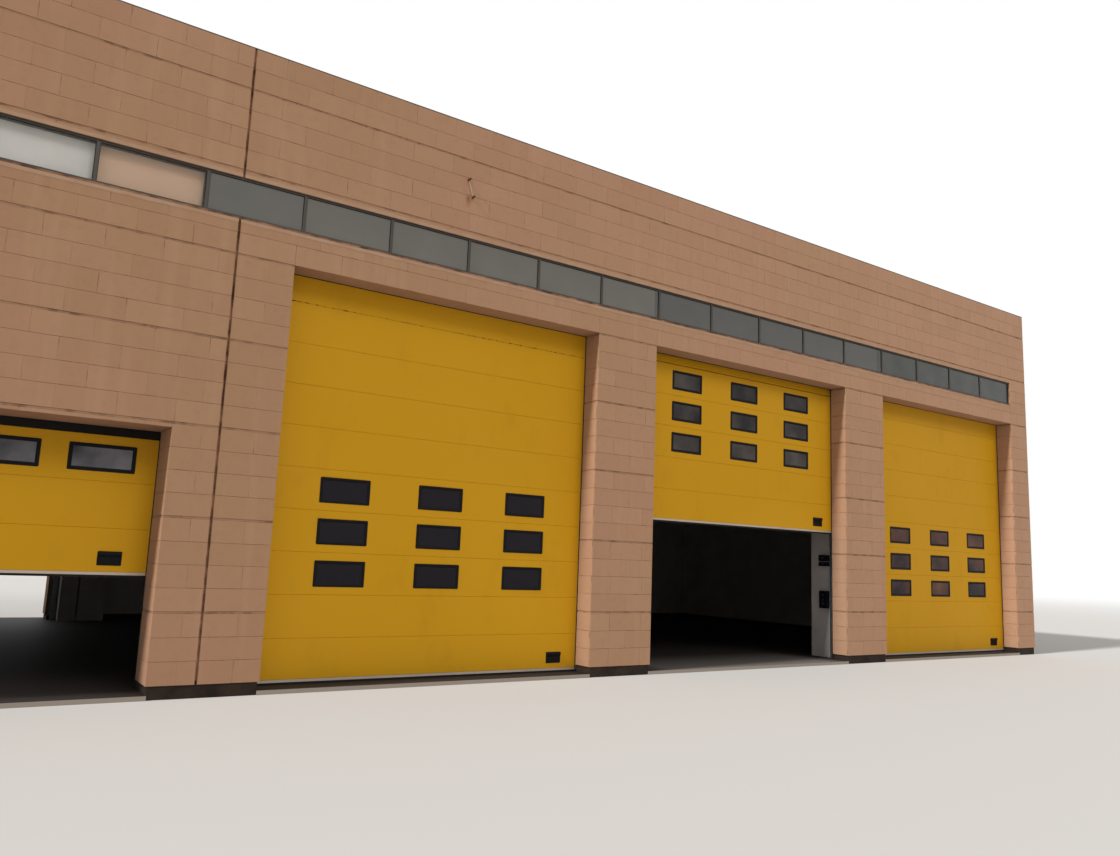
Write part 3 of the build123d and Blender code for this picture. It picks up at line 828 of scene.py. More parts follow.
@dataclass
class Plan:
    """Places that several assemblies share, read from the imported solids.

    Each band of tiles is its bottom and top, with a recessed line between it and the next.
    """

    left: float
    right: float
    front: float
    rear: float
    wall: float
    deep_wall: float
    base: float
    top: float
    low_head: float
    high_head: float
    joint: tuple[float, float]
    low_door: tuple[float, float]
    tall_doors: list[tuple[float, float]]
    glazing: Box
    slabs: Box
    bands: list[tuple[float, float]]

    @classmethod
    def from_frame(cls, groove_limit: float = 0.03) -> Plan:
        """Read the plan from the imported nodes.

        Args:
            groove_limit: Heights below this between two levels of a wall are recessed lines.

        Returns:
            The plan.
        """
        piers = {name: Box.of("pier_" + name) for name in
                 ("left_end", "joint_left", "joint_right", "middle", "right", "right_end")}
        side = Box.of("left_wall")
        levels = sorted({round(vertex.co.z, 4)
                         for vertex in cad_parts["left_wall"].data.vertices})
        grooves = [pair for pair in zip(levels, levels[1:]) if pair[1] - pair[0] < groove_limit]
        edges = [side.low.z] + [level for pair in grooves for level in pair] + [side.high.z]
        return cls(
            left=piers["left_end"].low.x, right=piers["right_end"].high.x,
            front=piers["left_end"].low.y, rear=Box.of("rear_wall").high.y,
            wall=side.high.x - side.low.x,
            deep_wall=piers["joint_left"].high.y - piers["joint_left"].low.y,
            base=side.low.z, top=side.high.z,
            low_head=Box.of("front_wall_over_low_door").low.z,
            high_head=Box.of("front_lintel").low.z,
            joint=(piers["joint_left"].high.x, piers["joint_right"].low.x),
            low_door=(piers["left_end"].high.x, piers["joint_left"].low.x),
            tall_doors=[(piers["joint_right"].high.x, piers["middle"].low.x),
                        (piers["middle"].high.x, piers["right"].low.x),
                        (piers["right"].high.x, piers["right_end"].low.x)],
            glazing=Box.of("glazing_frames"), slabs=Box.of("roof_slabs"),
            bands=list(zip(edges[::2], edges[1::2])))

    def joint_opening(self) -> Opening:
        """The movement joint, as a gap in the tiles over the whole height."""
        return Opening(*self.joint, 0.0, self.top)

    def glazing_opening(self) -> Opening:
        """The glazed band, as a gap in the tiles."""
        return Opening(self.glazing.low.x, self.glazing.high.x, self.glazing.low.z,
                       self.glazing.high.z)

    def door_openings(self) -> list[Opening]:
        """The doorways of the front, from left to right."""
        tall = [Opening(*door, 0.0, self.high_head) for door in self.tall_doors]
        return [Opening(*self.low_door, 0.0, self.low_head)] + tall

    def wall_round(self, door: Opening) -> float:
        """Thickness of the wall round a doorway, which is greater at the low door."""
        return self.deep_wall if door.start == self.low_door[0] else self.wall


class Palette:
    """Every finish of the building, made once and shared by its pieces."""

    def __init__(self, plan: Plan) -> None:
        """Make the finishes.

        Args:
            plan: Where dust, dirt, stains and painted daylight lie.
        """
        bracket, slab = Box.of("wall_bracket"), Box.of("floor_slab")
        lower, upper = sorted(solids_of("door_2_leaf"), key=lambda panel: panel.low.z)[-2:]
        self.stone = CastStone(front=plan.front,
                               bracket=(bracket.high.x, bracket.low.z)).build()
        self.pointing = Pointing().build()
        self.concrete = FormedConcrete().build()
        self.floor = FloatedFloor(top=slab.high.z, front=slab.low.y,
                                  painted_daylight_stretches=((*plan.low_door, 0.12),
                                         (*plan.tall_doors[1], 1.0))).build()
        self.coat = CoilCoat(seam=plan.tall_doors[0],
                             seam_height=(lower.high.z + upper.low.z) / 2).build()
        self.zinc = ZincCoat().build()
        # Cement mortar, raked deep: brown and dead matt, darker than the tiles
        self.mortar = Mottled("raked_mortar", "#8C674D", roughness=0.95, specular=0.2,
                              second="#745541").build()
        # Cement mortar, smeared and sun-bleached: paler and greyer than the tiles
        self.cement = Mottled("smeared_cement", "#A5876F", roughness=0.95, specular=0.2,
                              second="#957056", drift_mm=260.0).build()
        # Cement plaster, wood-floated: pale, dull grey
        self.plaster = Mottled("floated_plaster", "#ABA49C", roughness=0.95,
                               second="#948D86").build()
        # Cement render on the parapets' roof side: pale and weathered
        self.render = Mottled("weathered_render", "#9C8D7E", roughness=0.93,
                              second="#857667").build()
        # Bitumen paint on the base: near black under a film of dust
        self.bitumen = Mottled("bitumen_paint", "#211B18", roughness=0.75, specular=0.12,
                               second="#43352B", drift_mm=260.0).build()
        # Mineral-surfaced bitumen felt, torched down: grey granules
        self.felt = Mottled("mineral_felt", "#8B8884", roughness=0.95, second="#74716D",
                            drift_mm=900.0, relief_mm=6.0, relief_strength=0.5).build()
        # Polyurethane sealant, tooled: dark brown, bleached in stretches, dull
        self.sealant = Mottled("tooled_sealant", "#4A3225", roughness=0.85, specular=0.08,
                               second="#A3775A", drift_mm=170.0, drift_share=1.0).build()
        # Aluminium, bronze-anodised: dark, satin metal
        self.anodised = Mottled("bronze_anodised_aluminium", "#3E3730", roughness=0.5,
                                metallic=0.5, second="#312D28", relief_strength=0.05).build()
        # Aluminium, mill-finished and dusty: pale, dull metal
        self.mill = Mottled("dusty_mill_aluminium", "#B3A595", roughness=0.5, metallic=0.3,
                            second="#9A8B7D", relief_strength=0.05).build()
        # Iron, hot-rolled and rusted through: rough brown scale
        self.rust = Mottled("rusted_iron", "#5A3014", roughness=0.95, second="#2E1A0C",
                            drift_mm=30.0, relief_mm=4.0, relief_strength=0.7).build()
        # Steel strap bleached by the sun: pale, dull, flecked with rust
        self.strap = Mottled("bleached_strap", "#AE937A", roughness=0.8, second="#A3805F",
                             drift_mm=40.0).build()
        # ABS, injection-moulded with a fine spark-eroded grain: black, satin
        self.plastic = Mottled("moulded_abs", "#0D0C0E", roughness=0.5, specular=0.1,
                               second="#151317", relief_mm=3.0, relief_strength=0.12,
                               relief_depth=0.0004).build()
        # ABS, injection-moulded in a polished mould: dark blue, smoother than the boxes
        self.button = Mottled("moulded_blue_abs", "#26284A", roughness=0.35, specular=0.3,
                              second="#202240", relief_strength=0.05).build()
        # Nylon, turned: off-white with a soft gloss
        self.nylon = Mottled("turned_nylon", "#B9B4A6", roughness=0.4, ior=1.53,
                             second="#9E998C", relief_strength=0.05).build()
        # EPDM rubber, extruded: black and matt, greyed by dust
        self.rubber = Mottled("extruded_epdm", "#151312", roughness=0.8, specular=0.15,
                              second="#262220", relief_strength=0.1).build()
        # Board, painted with emulsion: flat and chalky, in off-white and in tan
        self.pale_board = Mottled("painted_board", "#EDE8E1", roughness=0.9,
                                  second="#D5CEC5").build()
        self.tan_board = Mottled("tan_painted_board", "#E2B897", roughness=0.9,
                                 second="#D2A886").build()
        # Float glass with a metal-oxide coat: a dull grey gloss, nearly opaque
        # Painted reflection: the dark film from the middle to the right end darkens those panes;
        # the grey-brown film on the left is dust
        self.solar = Glass("coated_solar_glass_painted_reflection", "#605F5A", roughness=0.08, ior=1.52,
                           specular=0.3, alpha=0.92, evenness=0.6,
                           dust_and_reflection_films=((-12.0, 0.1, "#8C8378"), (-4.5, 0.23, "#8C8378"),
                                  (1.0, 0.4, "#3D3F3B"), (6.5, 1.0, "#3D3F3B"))).build()
        # Float glass, plain: clear
        self.clear = Glass("clear_float_glass", "#8A918C", roughness=0.03, ior=1.52,
                           alpha=0.12).build()
        # Acrylic sheet, cast and tinted: dark, glossy and faintly violet, with grey dust on the
        # third door, a pale painted reflection on the first and a brown one on the last
        self.acrylic = Glass("tinted_acrylic_painted_reflection", "#1C181E", roughness=0.06, ior=1.49,
                             specular=0.12, alpha=0.95, dust_mm=700.0,
                             dust_and_reflection_films=((-12.0, 0.95, "#8B8A90"), (-5.0, 0.0, "#8C8378"),
                                    (0.4, 0.3, "#8C8378"), (6.0, 0.4, "#A0694C"))).build()


@dataclass(frozen=True)
class Surface:
    """A flat face to be tiled, with its own directions along, up and out."""

    origin: Vector
    along: Vector
    up: Vector
    out: Vector

    def at(self, u: float, v: float, depth: float) -> Vector:
        """Point of the building at a place on the surface and a depth behind it."""
        return self.origin + self.along * u + self.up * v - self.out * depth


class Skin:
    """Tiles on a stretch of wall, and the mortar bed behind them."""

    def __init__(self, finishes: Palette) -> None:
        """Start with no tiles."""
        self.tiles, self.bed = Shape(finishes.stone), Shape(finishes.pointing)

    def pieces(self, name: str) -> list[bpy.types.Object]:
        """Turn the tiles and their bed into pieces named for the stretch."""
        return [self.tiles.piece(name + "_tiles", Slot.STONE),
                self.bed.piece(name + "_mortar_bed", Slot.STONE)]


@dataclass
class Cladding:
    """Stone tiles in running bond between the recessed lines, on their mortar bed."""

    plan: Plan
    finishes: Palette
    length: float = 0.571
    bond_start: float = 0.009
    course: float = 0.244
    thickness: float = TILE_THICKNESS
    level_joint: float = 0.002
    upright_joint: float = 0.004
    joint_depth: float = 0.0015
    arris: float = 0.001
    lip: float = 0.0006
    least_lip: float = 0.0002
    nibble: float = 0.0035
    nibble_pitch: float = 0.115
    groove_depth: float = 0.007
    groove_wobble: float = 0.003
    groove_step: float = 0.09
    thinnest_fill: float = 0.005
    shortest: float = 0.085
    thinnest: float = 0.018
    stagger: float = 0.012
    seed: int = 11
    rng: random.Random = field(init=False)

    def __post_init__(self) -> None:
        """Start the seeded draws of tones and small offsets."""
        self.rng = random.Random(self.seed)

    def build(self) -> list[bpy.types.Object]:
        """Tile the four sides and the reveals of the doorways.

        Returns:
            The tiled pieces and their beds.
        """
        plan = self.plan
        glazing, joint = plan.glazing_opening(), plan.joint_opening()
        doors = plan.door_openings()
        across = (plan.left, plan.right)
        inward = (plan.front + self.thickness, plan.rear - self.thickness)
        sides = (
            ("front", Surface(Y_AXIS * plan.front, X_AXIS, Z_AXIS, -Y_AXIS), across,
             doors + [glazing, joint]),
            ("rear", Surface(Y_AXIS * plan.rear, X_AXIS, Z_AXIS, Y_AXIS), across,
             [doors[0], glazing, joint]),
            ("left", Surface(X_AXIS * plan.left, Y_AXIS, Z_AXIS, -X_AXIS), inward, []),
            ("right", Surface(X_AXIS * plan.right, Y_AXIS, Z_AXIS, X_AXIS), inward, []))
        pieces = []
        for name, surface, ends, openings in sides:
            skin = Skin(self.finishes)
            self.tile_side(skin, surface, ends, openings)
            pieces += skin.pieces(name)
        skin = Skin(self.finishes)
        for door in doors:
            self.tile_reveal(skin, door, plan.front, Y_AXIS)
        self.tile_reveal(skin, doors[0], plan.rear, -Y_AXIS)
        return pieces + skin.pieces("reveal")

    def courses(self) -> list[tuple[float, float]]:
        """Split each band between recessed lines into even courses.

        Returns:
            Bottom and top of each course, from the base up.
        """
        made = []
        for bottom, top in self.plan.bands:
            count = max(1, round((top - bottom) / self.course))
            step = (top - bottom) / count
            made += [(bottom + step * number, bottom + step * (number + 1))
                     for number in range(count)]
        return made

    def grooves(self) -> list[tuple[float, float]]:
        """Bottom and top of each recessed line."""
        bands = self.plan.bands
        return [(below[1], above[0]) for below, above in zip(bands, bands[1:])]

    def runs(self, level: tuple[float, float], ends: tuple[float, float],
             openings: list[Opening], thinnest: float) -> list[Opening]:
        """Cut one course into the rectangles that its openings leave.

        Args:
            level: Bottom and top of the course.
            ends: Where the side starts and ends.
            openings: Openings of that side.
            thinnest: Height below which nothing is laid.

        Returns:
            Rectangles, each with one bottom and one top.
        """
        bottom, top = level
        met = [hole for hole in openings if hole.bottom < top and hole.top > bottom]
        edges = sorted({*ends} | {edge for hole in met for edge in (hole.start, hole.end)})
        found: list[Opening] = []
        for near, far in zip(edges, edges[1:]):
            middle = (near + far) / 2
            low, high = bottom, top
            for hole in met:
                if hole.start < middle < hole.end:
                    low = max(low, hole.top) if hole.bottom <= bottom else low
                    high = min(high, hole.bottom) if hole.top >= top else high
            if high - low > thinnest:
                found.append(Opening(near, far, low, high))
        return found

    def breaks(self, start: float, end: float, phase: float) -> list[float]:
        """Find the upright joints of a run.

        Args:
            start: Where the run starts.
            end: Where the run ends.
            phase: Place of one joint of this course, extended to the whole side.

        Returns:
            The run's two ends with the joints between them.
        """
        first = math.ceil((start - phase) / self.length)
        last = math.floor((end - phase) / self.length)
        inner = [phase + number * self.length for number in range(first, last + 1)]
        kept = [place for place in inner
                if start + self.shortest < place < end - self.shortest]
        return [start] + kept + [end]

    def tile_side(self, skin: Skin, surface: Surface, ends: tuple[float, float],
                  openings: list[Opening]) -> None:
        """Tile one side of the building.

        Args:
            skin: What gets the tiles and their bed.
            surface: The side's face.
            ends: Where the side starts and ends.
            openings: Openings that the tiles stop at.
        """
        for number, course in enumerate(self.courses()):
            shift = self.length / 2 * ((number + 1) % 2)
            phase = self.bond_start + shift + self.rng.uniform(-self.stagger, self.stagger)
            for run in self.runs(course, ends, openings, self.thinnest):
                self.lay(skin, surface, run, phase, course)
        for groove in self.grooves():
            for run in self.runs(groove, ends, openings, self.thinnest_fill):
                self.fill(skin.bed, surface, run)

    def tile_reveal(self, skin: Skin, door: Opening, face: float, inward: Vector) -> None:
        """Tile the two jambs and the underside over a doorway.

        Args:
            skin: What gets the tiles and their bed.
            door: The doorway.
            face: The wall's outer y.
            inward: Direction from that face into the building.
        """
        depth = self.plan.wall_round(door) - self.thickness
        edge = Y_AXIS * face + inward * self.thickness
        for x, out in ((door.start, X_AXIS), (door.end, -X_AXIS)):
            surface = Surface(edge + X_AXIS * x, inward, Z_AXIS, out)
            for bottom, top in self.courses():
                high = min(top, door.top)
                if high - bottom > self.thinnest:
                    self.lay(skin, surface, Opening(0.0, depth, bottom, high), 0.0,
                             (bottom, top))
            for bottom, top in self.grooves():
                if top < door.top:
                    self.fill(skin.bed, surface, Opening(0.0, depth, bottom, top))
        soffit = Surface(edge + Z_AXIS * door.top, X_AXIS, inward, -Z_AXIS)
        self.lay(skin, soffit, Opening(door.start, door.end, 0.0, depth), 0.0, (0.0, depth))

    def lay(self, skin: Skin, surface: Surface, run: Opening, phase: float,
            course: tuple[float, float]) -> None:
        """Lay one run of tiles with the bed behind it.

        Args:
            skin: What gets the tiles and their bed.
            surface: The face that the run lies on.
            run: The rectangle that the run fills.
            phase: Place of one upright joint of this course.
            course: Bottom and top of the whole course, where it has a joint to its neighbours.
        """
        half, level = self.upright_joint / 2, self.level_joint / 2
        edges = [height for pair in self.plan.bands for height in pair]
        foot = level if run.bottom == course[0] and course[0] not in edges else 0.0
        head = level if run.top == course[1] and course[1] not in edges else 0.0
        places = self.breaks(run.start, run.end, phase)
        for number, (near, far) in enumerate(zip(places, places[1:])):
            left = near + (half if number else 0.0)
            right = far - (half if number < len(places) - 2 else 0.0)
            self.tile(skin.tiles, surface,
                      Opening(left, right, run.bottom + foot, run.top - head))
        start, end = run.start + self.arris, run.end - self.arris
        bottom, top = run.bottom + self.arris, run.top - self.arris
        skin.bed.rings([[surface.at(u, v, depth) for u, v in
                         ((start, bottom), (end, bottom), (end, top), (start, top))]
                        for depth in (self.thickness, self.joint_depth)])

    def fill(self, bed: Shape, surface: Surface, run: Opening) -> None:
        """Fill a stretch of recessed line, unevenly, to part of its depth.

        Args:
            bed: Shape that gets the mortar.
            surface: The face that the line runs along.
            run: The rectangle that it fills.
        """
        count = max(1, round((run.end - run.start) / self.groove_step))
        loops = []
        for number in range(count + 1):
            u = run.start + (run.end - run.start) * number / count
            low, high = (self.groove_depth + self.rng.uniform(-1, 1) * self.groove_wobble
                         for _ in range(2))
            loops.append([surface.at(u, v, depth) for v, depth in
                          ((run.bottom, self.thickness), (run.bottom, low), (run.top, high),
                           (run.top, self.thickness))])
        bed.rings(loops)

    def outline(self, place: Opening) -> list[tuple[float, float, float]]:
        """Draw a tile's outline, nibbled a little along its edges.

        Args:
            place: The tile's rectangle.

        Returns:
            Shares of the way along and up, with the bite taken at each point.
        """
        across = max(1, round((place.end - place.start) / self.nibble_pitch))
        upward = max(1, round((place.top - place.bottom) / self.nibble_pitch))
        shares = [(number / across, 0.0) for number in range(across)]
        shares += [(1.0, number / upward) for number in range(upward)]
        shares += [(1.0 - number / across, 1.0) for number in range(across)]
        shares += [(0.0, 1.0 - number / upward) for number in range(upward)]
        return [(u, v, self.rng.uniform(0, self.nibble)) for u, v in shares]

    def tile(self, tiles: Shape, surface: Surface, place: Opening) -> None:
        """Add one tile with worn arrises, set a hair out of true.

        Args:
            tiles: Shape that gets the tile.
            surface: The face that the tile lies on.
            place: The tile's rectangle.
        """
        sunk = [self.rng.uniform(0, self.lip) for _ in range(3)]
        tone = self.rng.random()
        outline = self.outline(place)
        loops = []
        for inset, depth, tilted in ((0.0, self.thickness, False), (0.0, self.arris, True),
                                     (self.arris, 0.0, True)):
            loop = []
            # A bite and the arris only move a point in from the edges that it lies on
            for u, v, bite in outline:
                along = place.start + (place.end - place.start) * u
                along += (bite + inset) * ((u == 0.0) - (u == 1.0))
                up = place.bottom + (place.top - place.bottom) * v
                up += (bite + inset) * ((v == 0.0) - (v == 1.0))
                lean = sunk[0] + (sunk[1] - sunk[0]) * u + (sunk[2] - sunk[0]) * v
                settled = max(lean, self.least_lip) if tilted else 0.0
                loop.append(surface.at(along, up, depth + settled))
            loops.append(loop)
        tiles.rings(loops, tone=tone)


@dataclass
class WallCores:
    """The block walls behind the tiles, set back by the tiles' thickness."""

    plan: Plan
    finishes: Palette
    skin: float = TILE_THICKNESS
    nodes: tuple[str, ...] = (
        "pier_left_end", "pier_joint_left", "pier_joint_right", "pier_middle", "pier_right",
        "pier_right_end", "front_wall_over_low_door", "front_lintel", "front_parapet_left",
        "front_parapet_right", "rear_parapet_left", "rear_parapet_right", "left_wall",
        "right_wall", "rear_piers", "rear_wall_over_low_door", "rear_wall",
        "glazing_end_blocks")
    tiled_below: tuple[str, ...] = (
        "front_lintel", "front_wall_over_low_door", "rear_wall_over_low_door")

    def build(self) -> list[bpy.types.Object]:
        """Make one core for each clad node, which it then stands for.

        Returns:
            The core pieces.
        """
        finishes = self.finishes
        pieces = []
        for node in self.nodes:
            core = Shape(finishes.mortar, finishes.plaster, finishes.render)
            for solid in solids_of(node):
                for part in self.split(self.inset(solid, node)):
                    self.add(core, part)
            pieces.append(core.piece(node + "_core", Slot.STONE, (node,)))
        return pieces

    def inset(self, solid: Box, node: str) -> Box:
        """Set a wall's tiled faces back.

        Args:
            solid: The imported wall.
            node: Its node.

        Returns:
            The box of its core.
        """
        plan, skin = self.plan, self.skin
        low, high = solid.low.copy(), solid.high.copy()
        starts = {door.start for door in plan.door_openings()}
        ends = {door.end for door in plan.door_openings()}
        upright = "pier" in node
        if low.x == plan.left or (upright and low.x in ends):
            low.x += skin
        if high.x == plan.right or (upright and high.x in starts):
            high.x -= skin
        if low.y == plan.front:
            low.y += skin
        if high.y == plan.rear:
            high.y -= skin
        if node in self.tiled_below:
            low.z += skin
        if upright:
            high.z += skin
        return Box(low, high)

    def split(self, core: Box) -> list[Box]:
        """Cut a core at the roof slab, which bears in a pocket of the end walls.

        Args:
            core: The core of one wall.

        Returns:
            The core itself, or its parts below, beside and above the slab.
        """
        slabs = self.plan.slabs
        if core.high.z <= slabs.low.z:
            return [core]
        beside = Box(Vector((core.low.x, core.low.y, slabs.low.z)),
                     Vector((core.high.x, core.high.y, slabs.high.z)))
        if core.low.x < slabs.low.x < core.high.x:
            beside.high.x = slabs.low.x
        if core.low.x < slabs.high.x < core.high.x:
            beside.low.x = slabs.high.x
        return [Box(core.low, Vector((core.high.x, core.high.y, slabs.low.z))), beside,
                Box(Vector((core.low.x, core.low.y, slabs.high.z)), core.high)]

    def add(self, core: Shape, part: Box) -> None:
        """Add a block whose inward faces are plastered, or rendered above the roof.

        Args:
            core: Shape that gets the block.
            part: The block's box.
        """
        before = set(core.mesh.faces)
        core.block(part.low, part.high)
        plan, finishes = self.plan, self.finishes
        above = part.low.z >= plan.slabs.low.z
        inward = core.number(finishes.render if above else finishes.plaster)
        for face in set(core.mesh.faces) - before:
            middle = face.calc_center_median()
            if (abs(middle.x) < plan.right - plan.wall + self.skin / 2
                    and abs(middle.y) < plan.rear - plan.wall + self.skin / 2):
                face.material_index = inward


@dataclass
class DoorFittings:
    """Window frames, hand pulls and rubber edge seals of the sectional doors.

    A moulding's profile runs from its outer edge inward: inset, share of its height, corner
    radius. The ledge's runs round its section: share of its reach, and height from its top.
    The seal's is shares of its width and of its depth.
    """

    plan: Plan
    finishes: Palette
    corner_points: int = 5
    frame_profile: tuple[tuple[float, float, float], ...] = (
        (0.0, 0.0, 0.014), (0.0, 0.7, 0.014), (0.003, 1.0, 0.011), (0.022, 1.0, 0.008),
        (0.026, 0.6, 0.007), (0.040, 0.25, 0.005), (0.040, 0.0, 0.005))
    plate: float = 0.008
    plate_profile: tuple[tuple[float, float, float], ...] = (
        (0.0, 0.0, 0.010), (0.0, 0.6, 0.010), (0.003, 1.0, 0.008), (0.016, 1.0, 0.006),
        (0.019, 0.25, 0.005))
    ledge_side: float = 0.008
    ledge_top: float = 0.002
    ledge_foot: float = 0.002
    ledge_share: float = 0.92
    ledge_profile: tuple[tuple[float, float], ...] = (
        (0.0, 0.0), (0.7, 0.0), (1.0, -0.010), (1.0, -0.034), (0.8, -0.043), (0.55, -0.030),
        (0.0, -0.026))
    seal_width: float = 0.007
    seal_depth: float = 0.010
    seal_profile: tuple[tuple[float, float], ...] = (
        (0.0, 0.0), (1.0, 0.0), (0.85, 0.5), (0.4, 1.0), (0.0, 1.0))

    def build(self) -> list[bpy.types.Object]:
        """Make all fittings.

        Returns:
            The pieces.
        """
        plastic, plan = self.finishes.plastic, self.plan
        frames, pulls, seals = Shape(plastic), Shape(plastic), Shape(self.finishes.rubber)
        for window in solids_of("door_window_frames"):
            rise = window.high.y - window.low.y
            frames.rings(self.moulding(window, self.frame_profile, rise), closed=True)
        for pull in solids_of("door_pull_boxes"):
            pulls.rings(self.moulding(pull, self.plate_profile, self.plate))
            pulls.rings(self.ledge(pull))
        doors = plan.door_openings()
        for door in doors:
            self.edge_seal(seals, door, plan.front + plan.wall_round(door), -1)
        self.edge_seal(seals, doors[0], plan.rear - plan.wall_round(doors[0]), 1)
        return [frames.piece("window_frames", Slot.PLASTIC, ("door_window_frames",)),
                pulls.piece("hand_pulls", Slot.PLASTIC, ("door_pull_boxes",)),
                seals.piece("edge_seals", Slot.RUBBER)]

    def rounded(self, box: Box, inset: float, radius: float, y: float) -> list[Place]:
        """Outline of an upright rectangle with rounded corners.

        Args:
            box: The rectangle's box, seen along Y.
            inset: How far inside the box the outline runs.
            radius: Radius of its corners.
            y: Where it lies.

        Returns:
            Its points, in order.
        """
        low_left, low_right, high_right, high_left = box.outline(y, inset + radius)
        points = []
        for quarter, (x, _, z) in enumerate((high_right, high_left, low_left, low_right)):
            for step in range(self.corner_points):
                angle = math.pi / 2 * (quarter + step / (self.corner_points - 1))
                points.append((x + radius * math.cos(angle), y, z + radius * math.sin(angle)))
        return points

    def moulding(self, box: Box, profile: tuple[tuple[float, float, float], ...],
                 height: float) -> list[list[Place]]:
        """Draw a moulding with rounded corners that stands on a leaf.

        Args:
            box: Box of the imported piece.
            profile: Inset, share of the height and corner radius of each outline.
            height: How far the moulding stands off the leaf.

        Returns:
            Its outlines, from the leaf outward.
        """
        leaf, _, out = box.depths()
        return [self.rounded(box, inset, radius, leaf + out * share * height)
                for inset, share, radius in profile]

    def ledge(self, box: Box) -> list[list[Place]]:
        """Draw the ledge of a hand pull, with a hollow under it for the fingers.

        Args:
            box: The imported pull's box.

        Returns:
            Its outlines, at its left and at its right end.
        """
        leaf, proud, out = box.depths()
        reach = abs(proud - leaf) * self.ledge_share
        return [[(x, leaf + out * (self.ledge_foot + share * reach),
                  box.high.z - self.ledge_top + drop) for share, drop in self.ledge_profile]
                for x in (box.low.x + self.ledge_side, box.high.x - self.ledge_side)]

    def edge_seal(self, seals: Shape, door: Opening, inner: float, out: int) -> None:
        """Add the rubber lip along both jambs and the head of a doorway.

        Args:
            seals: Shape that gets the lip.
            door: The doorway.
            inner: The y of the wall's inner face.
            out: Sign of the way out along Y.
        """
        floor = Box.of("floor_slab").high.z
        path = ((door.start, floor, 1, 0), (door.start, door.top, 1, -1),
                (door.end, door.top, -1, -1), (door.end, floor, -1, 0))
        section = [(self.seal_width * across, self.seal_depth * deep)
                   for across, deep in self.seal_profile]
        seals.rings([[(x + in_x * reach, inner + out * depth, z + in_z * reach)
                      for reach, depth in section] for x, z, in_x, in_z in path])


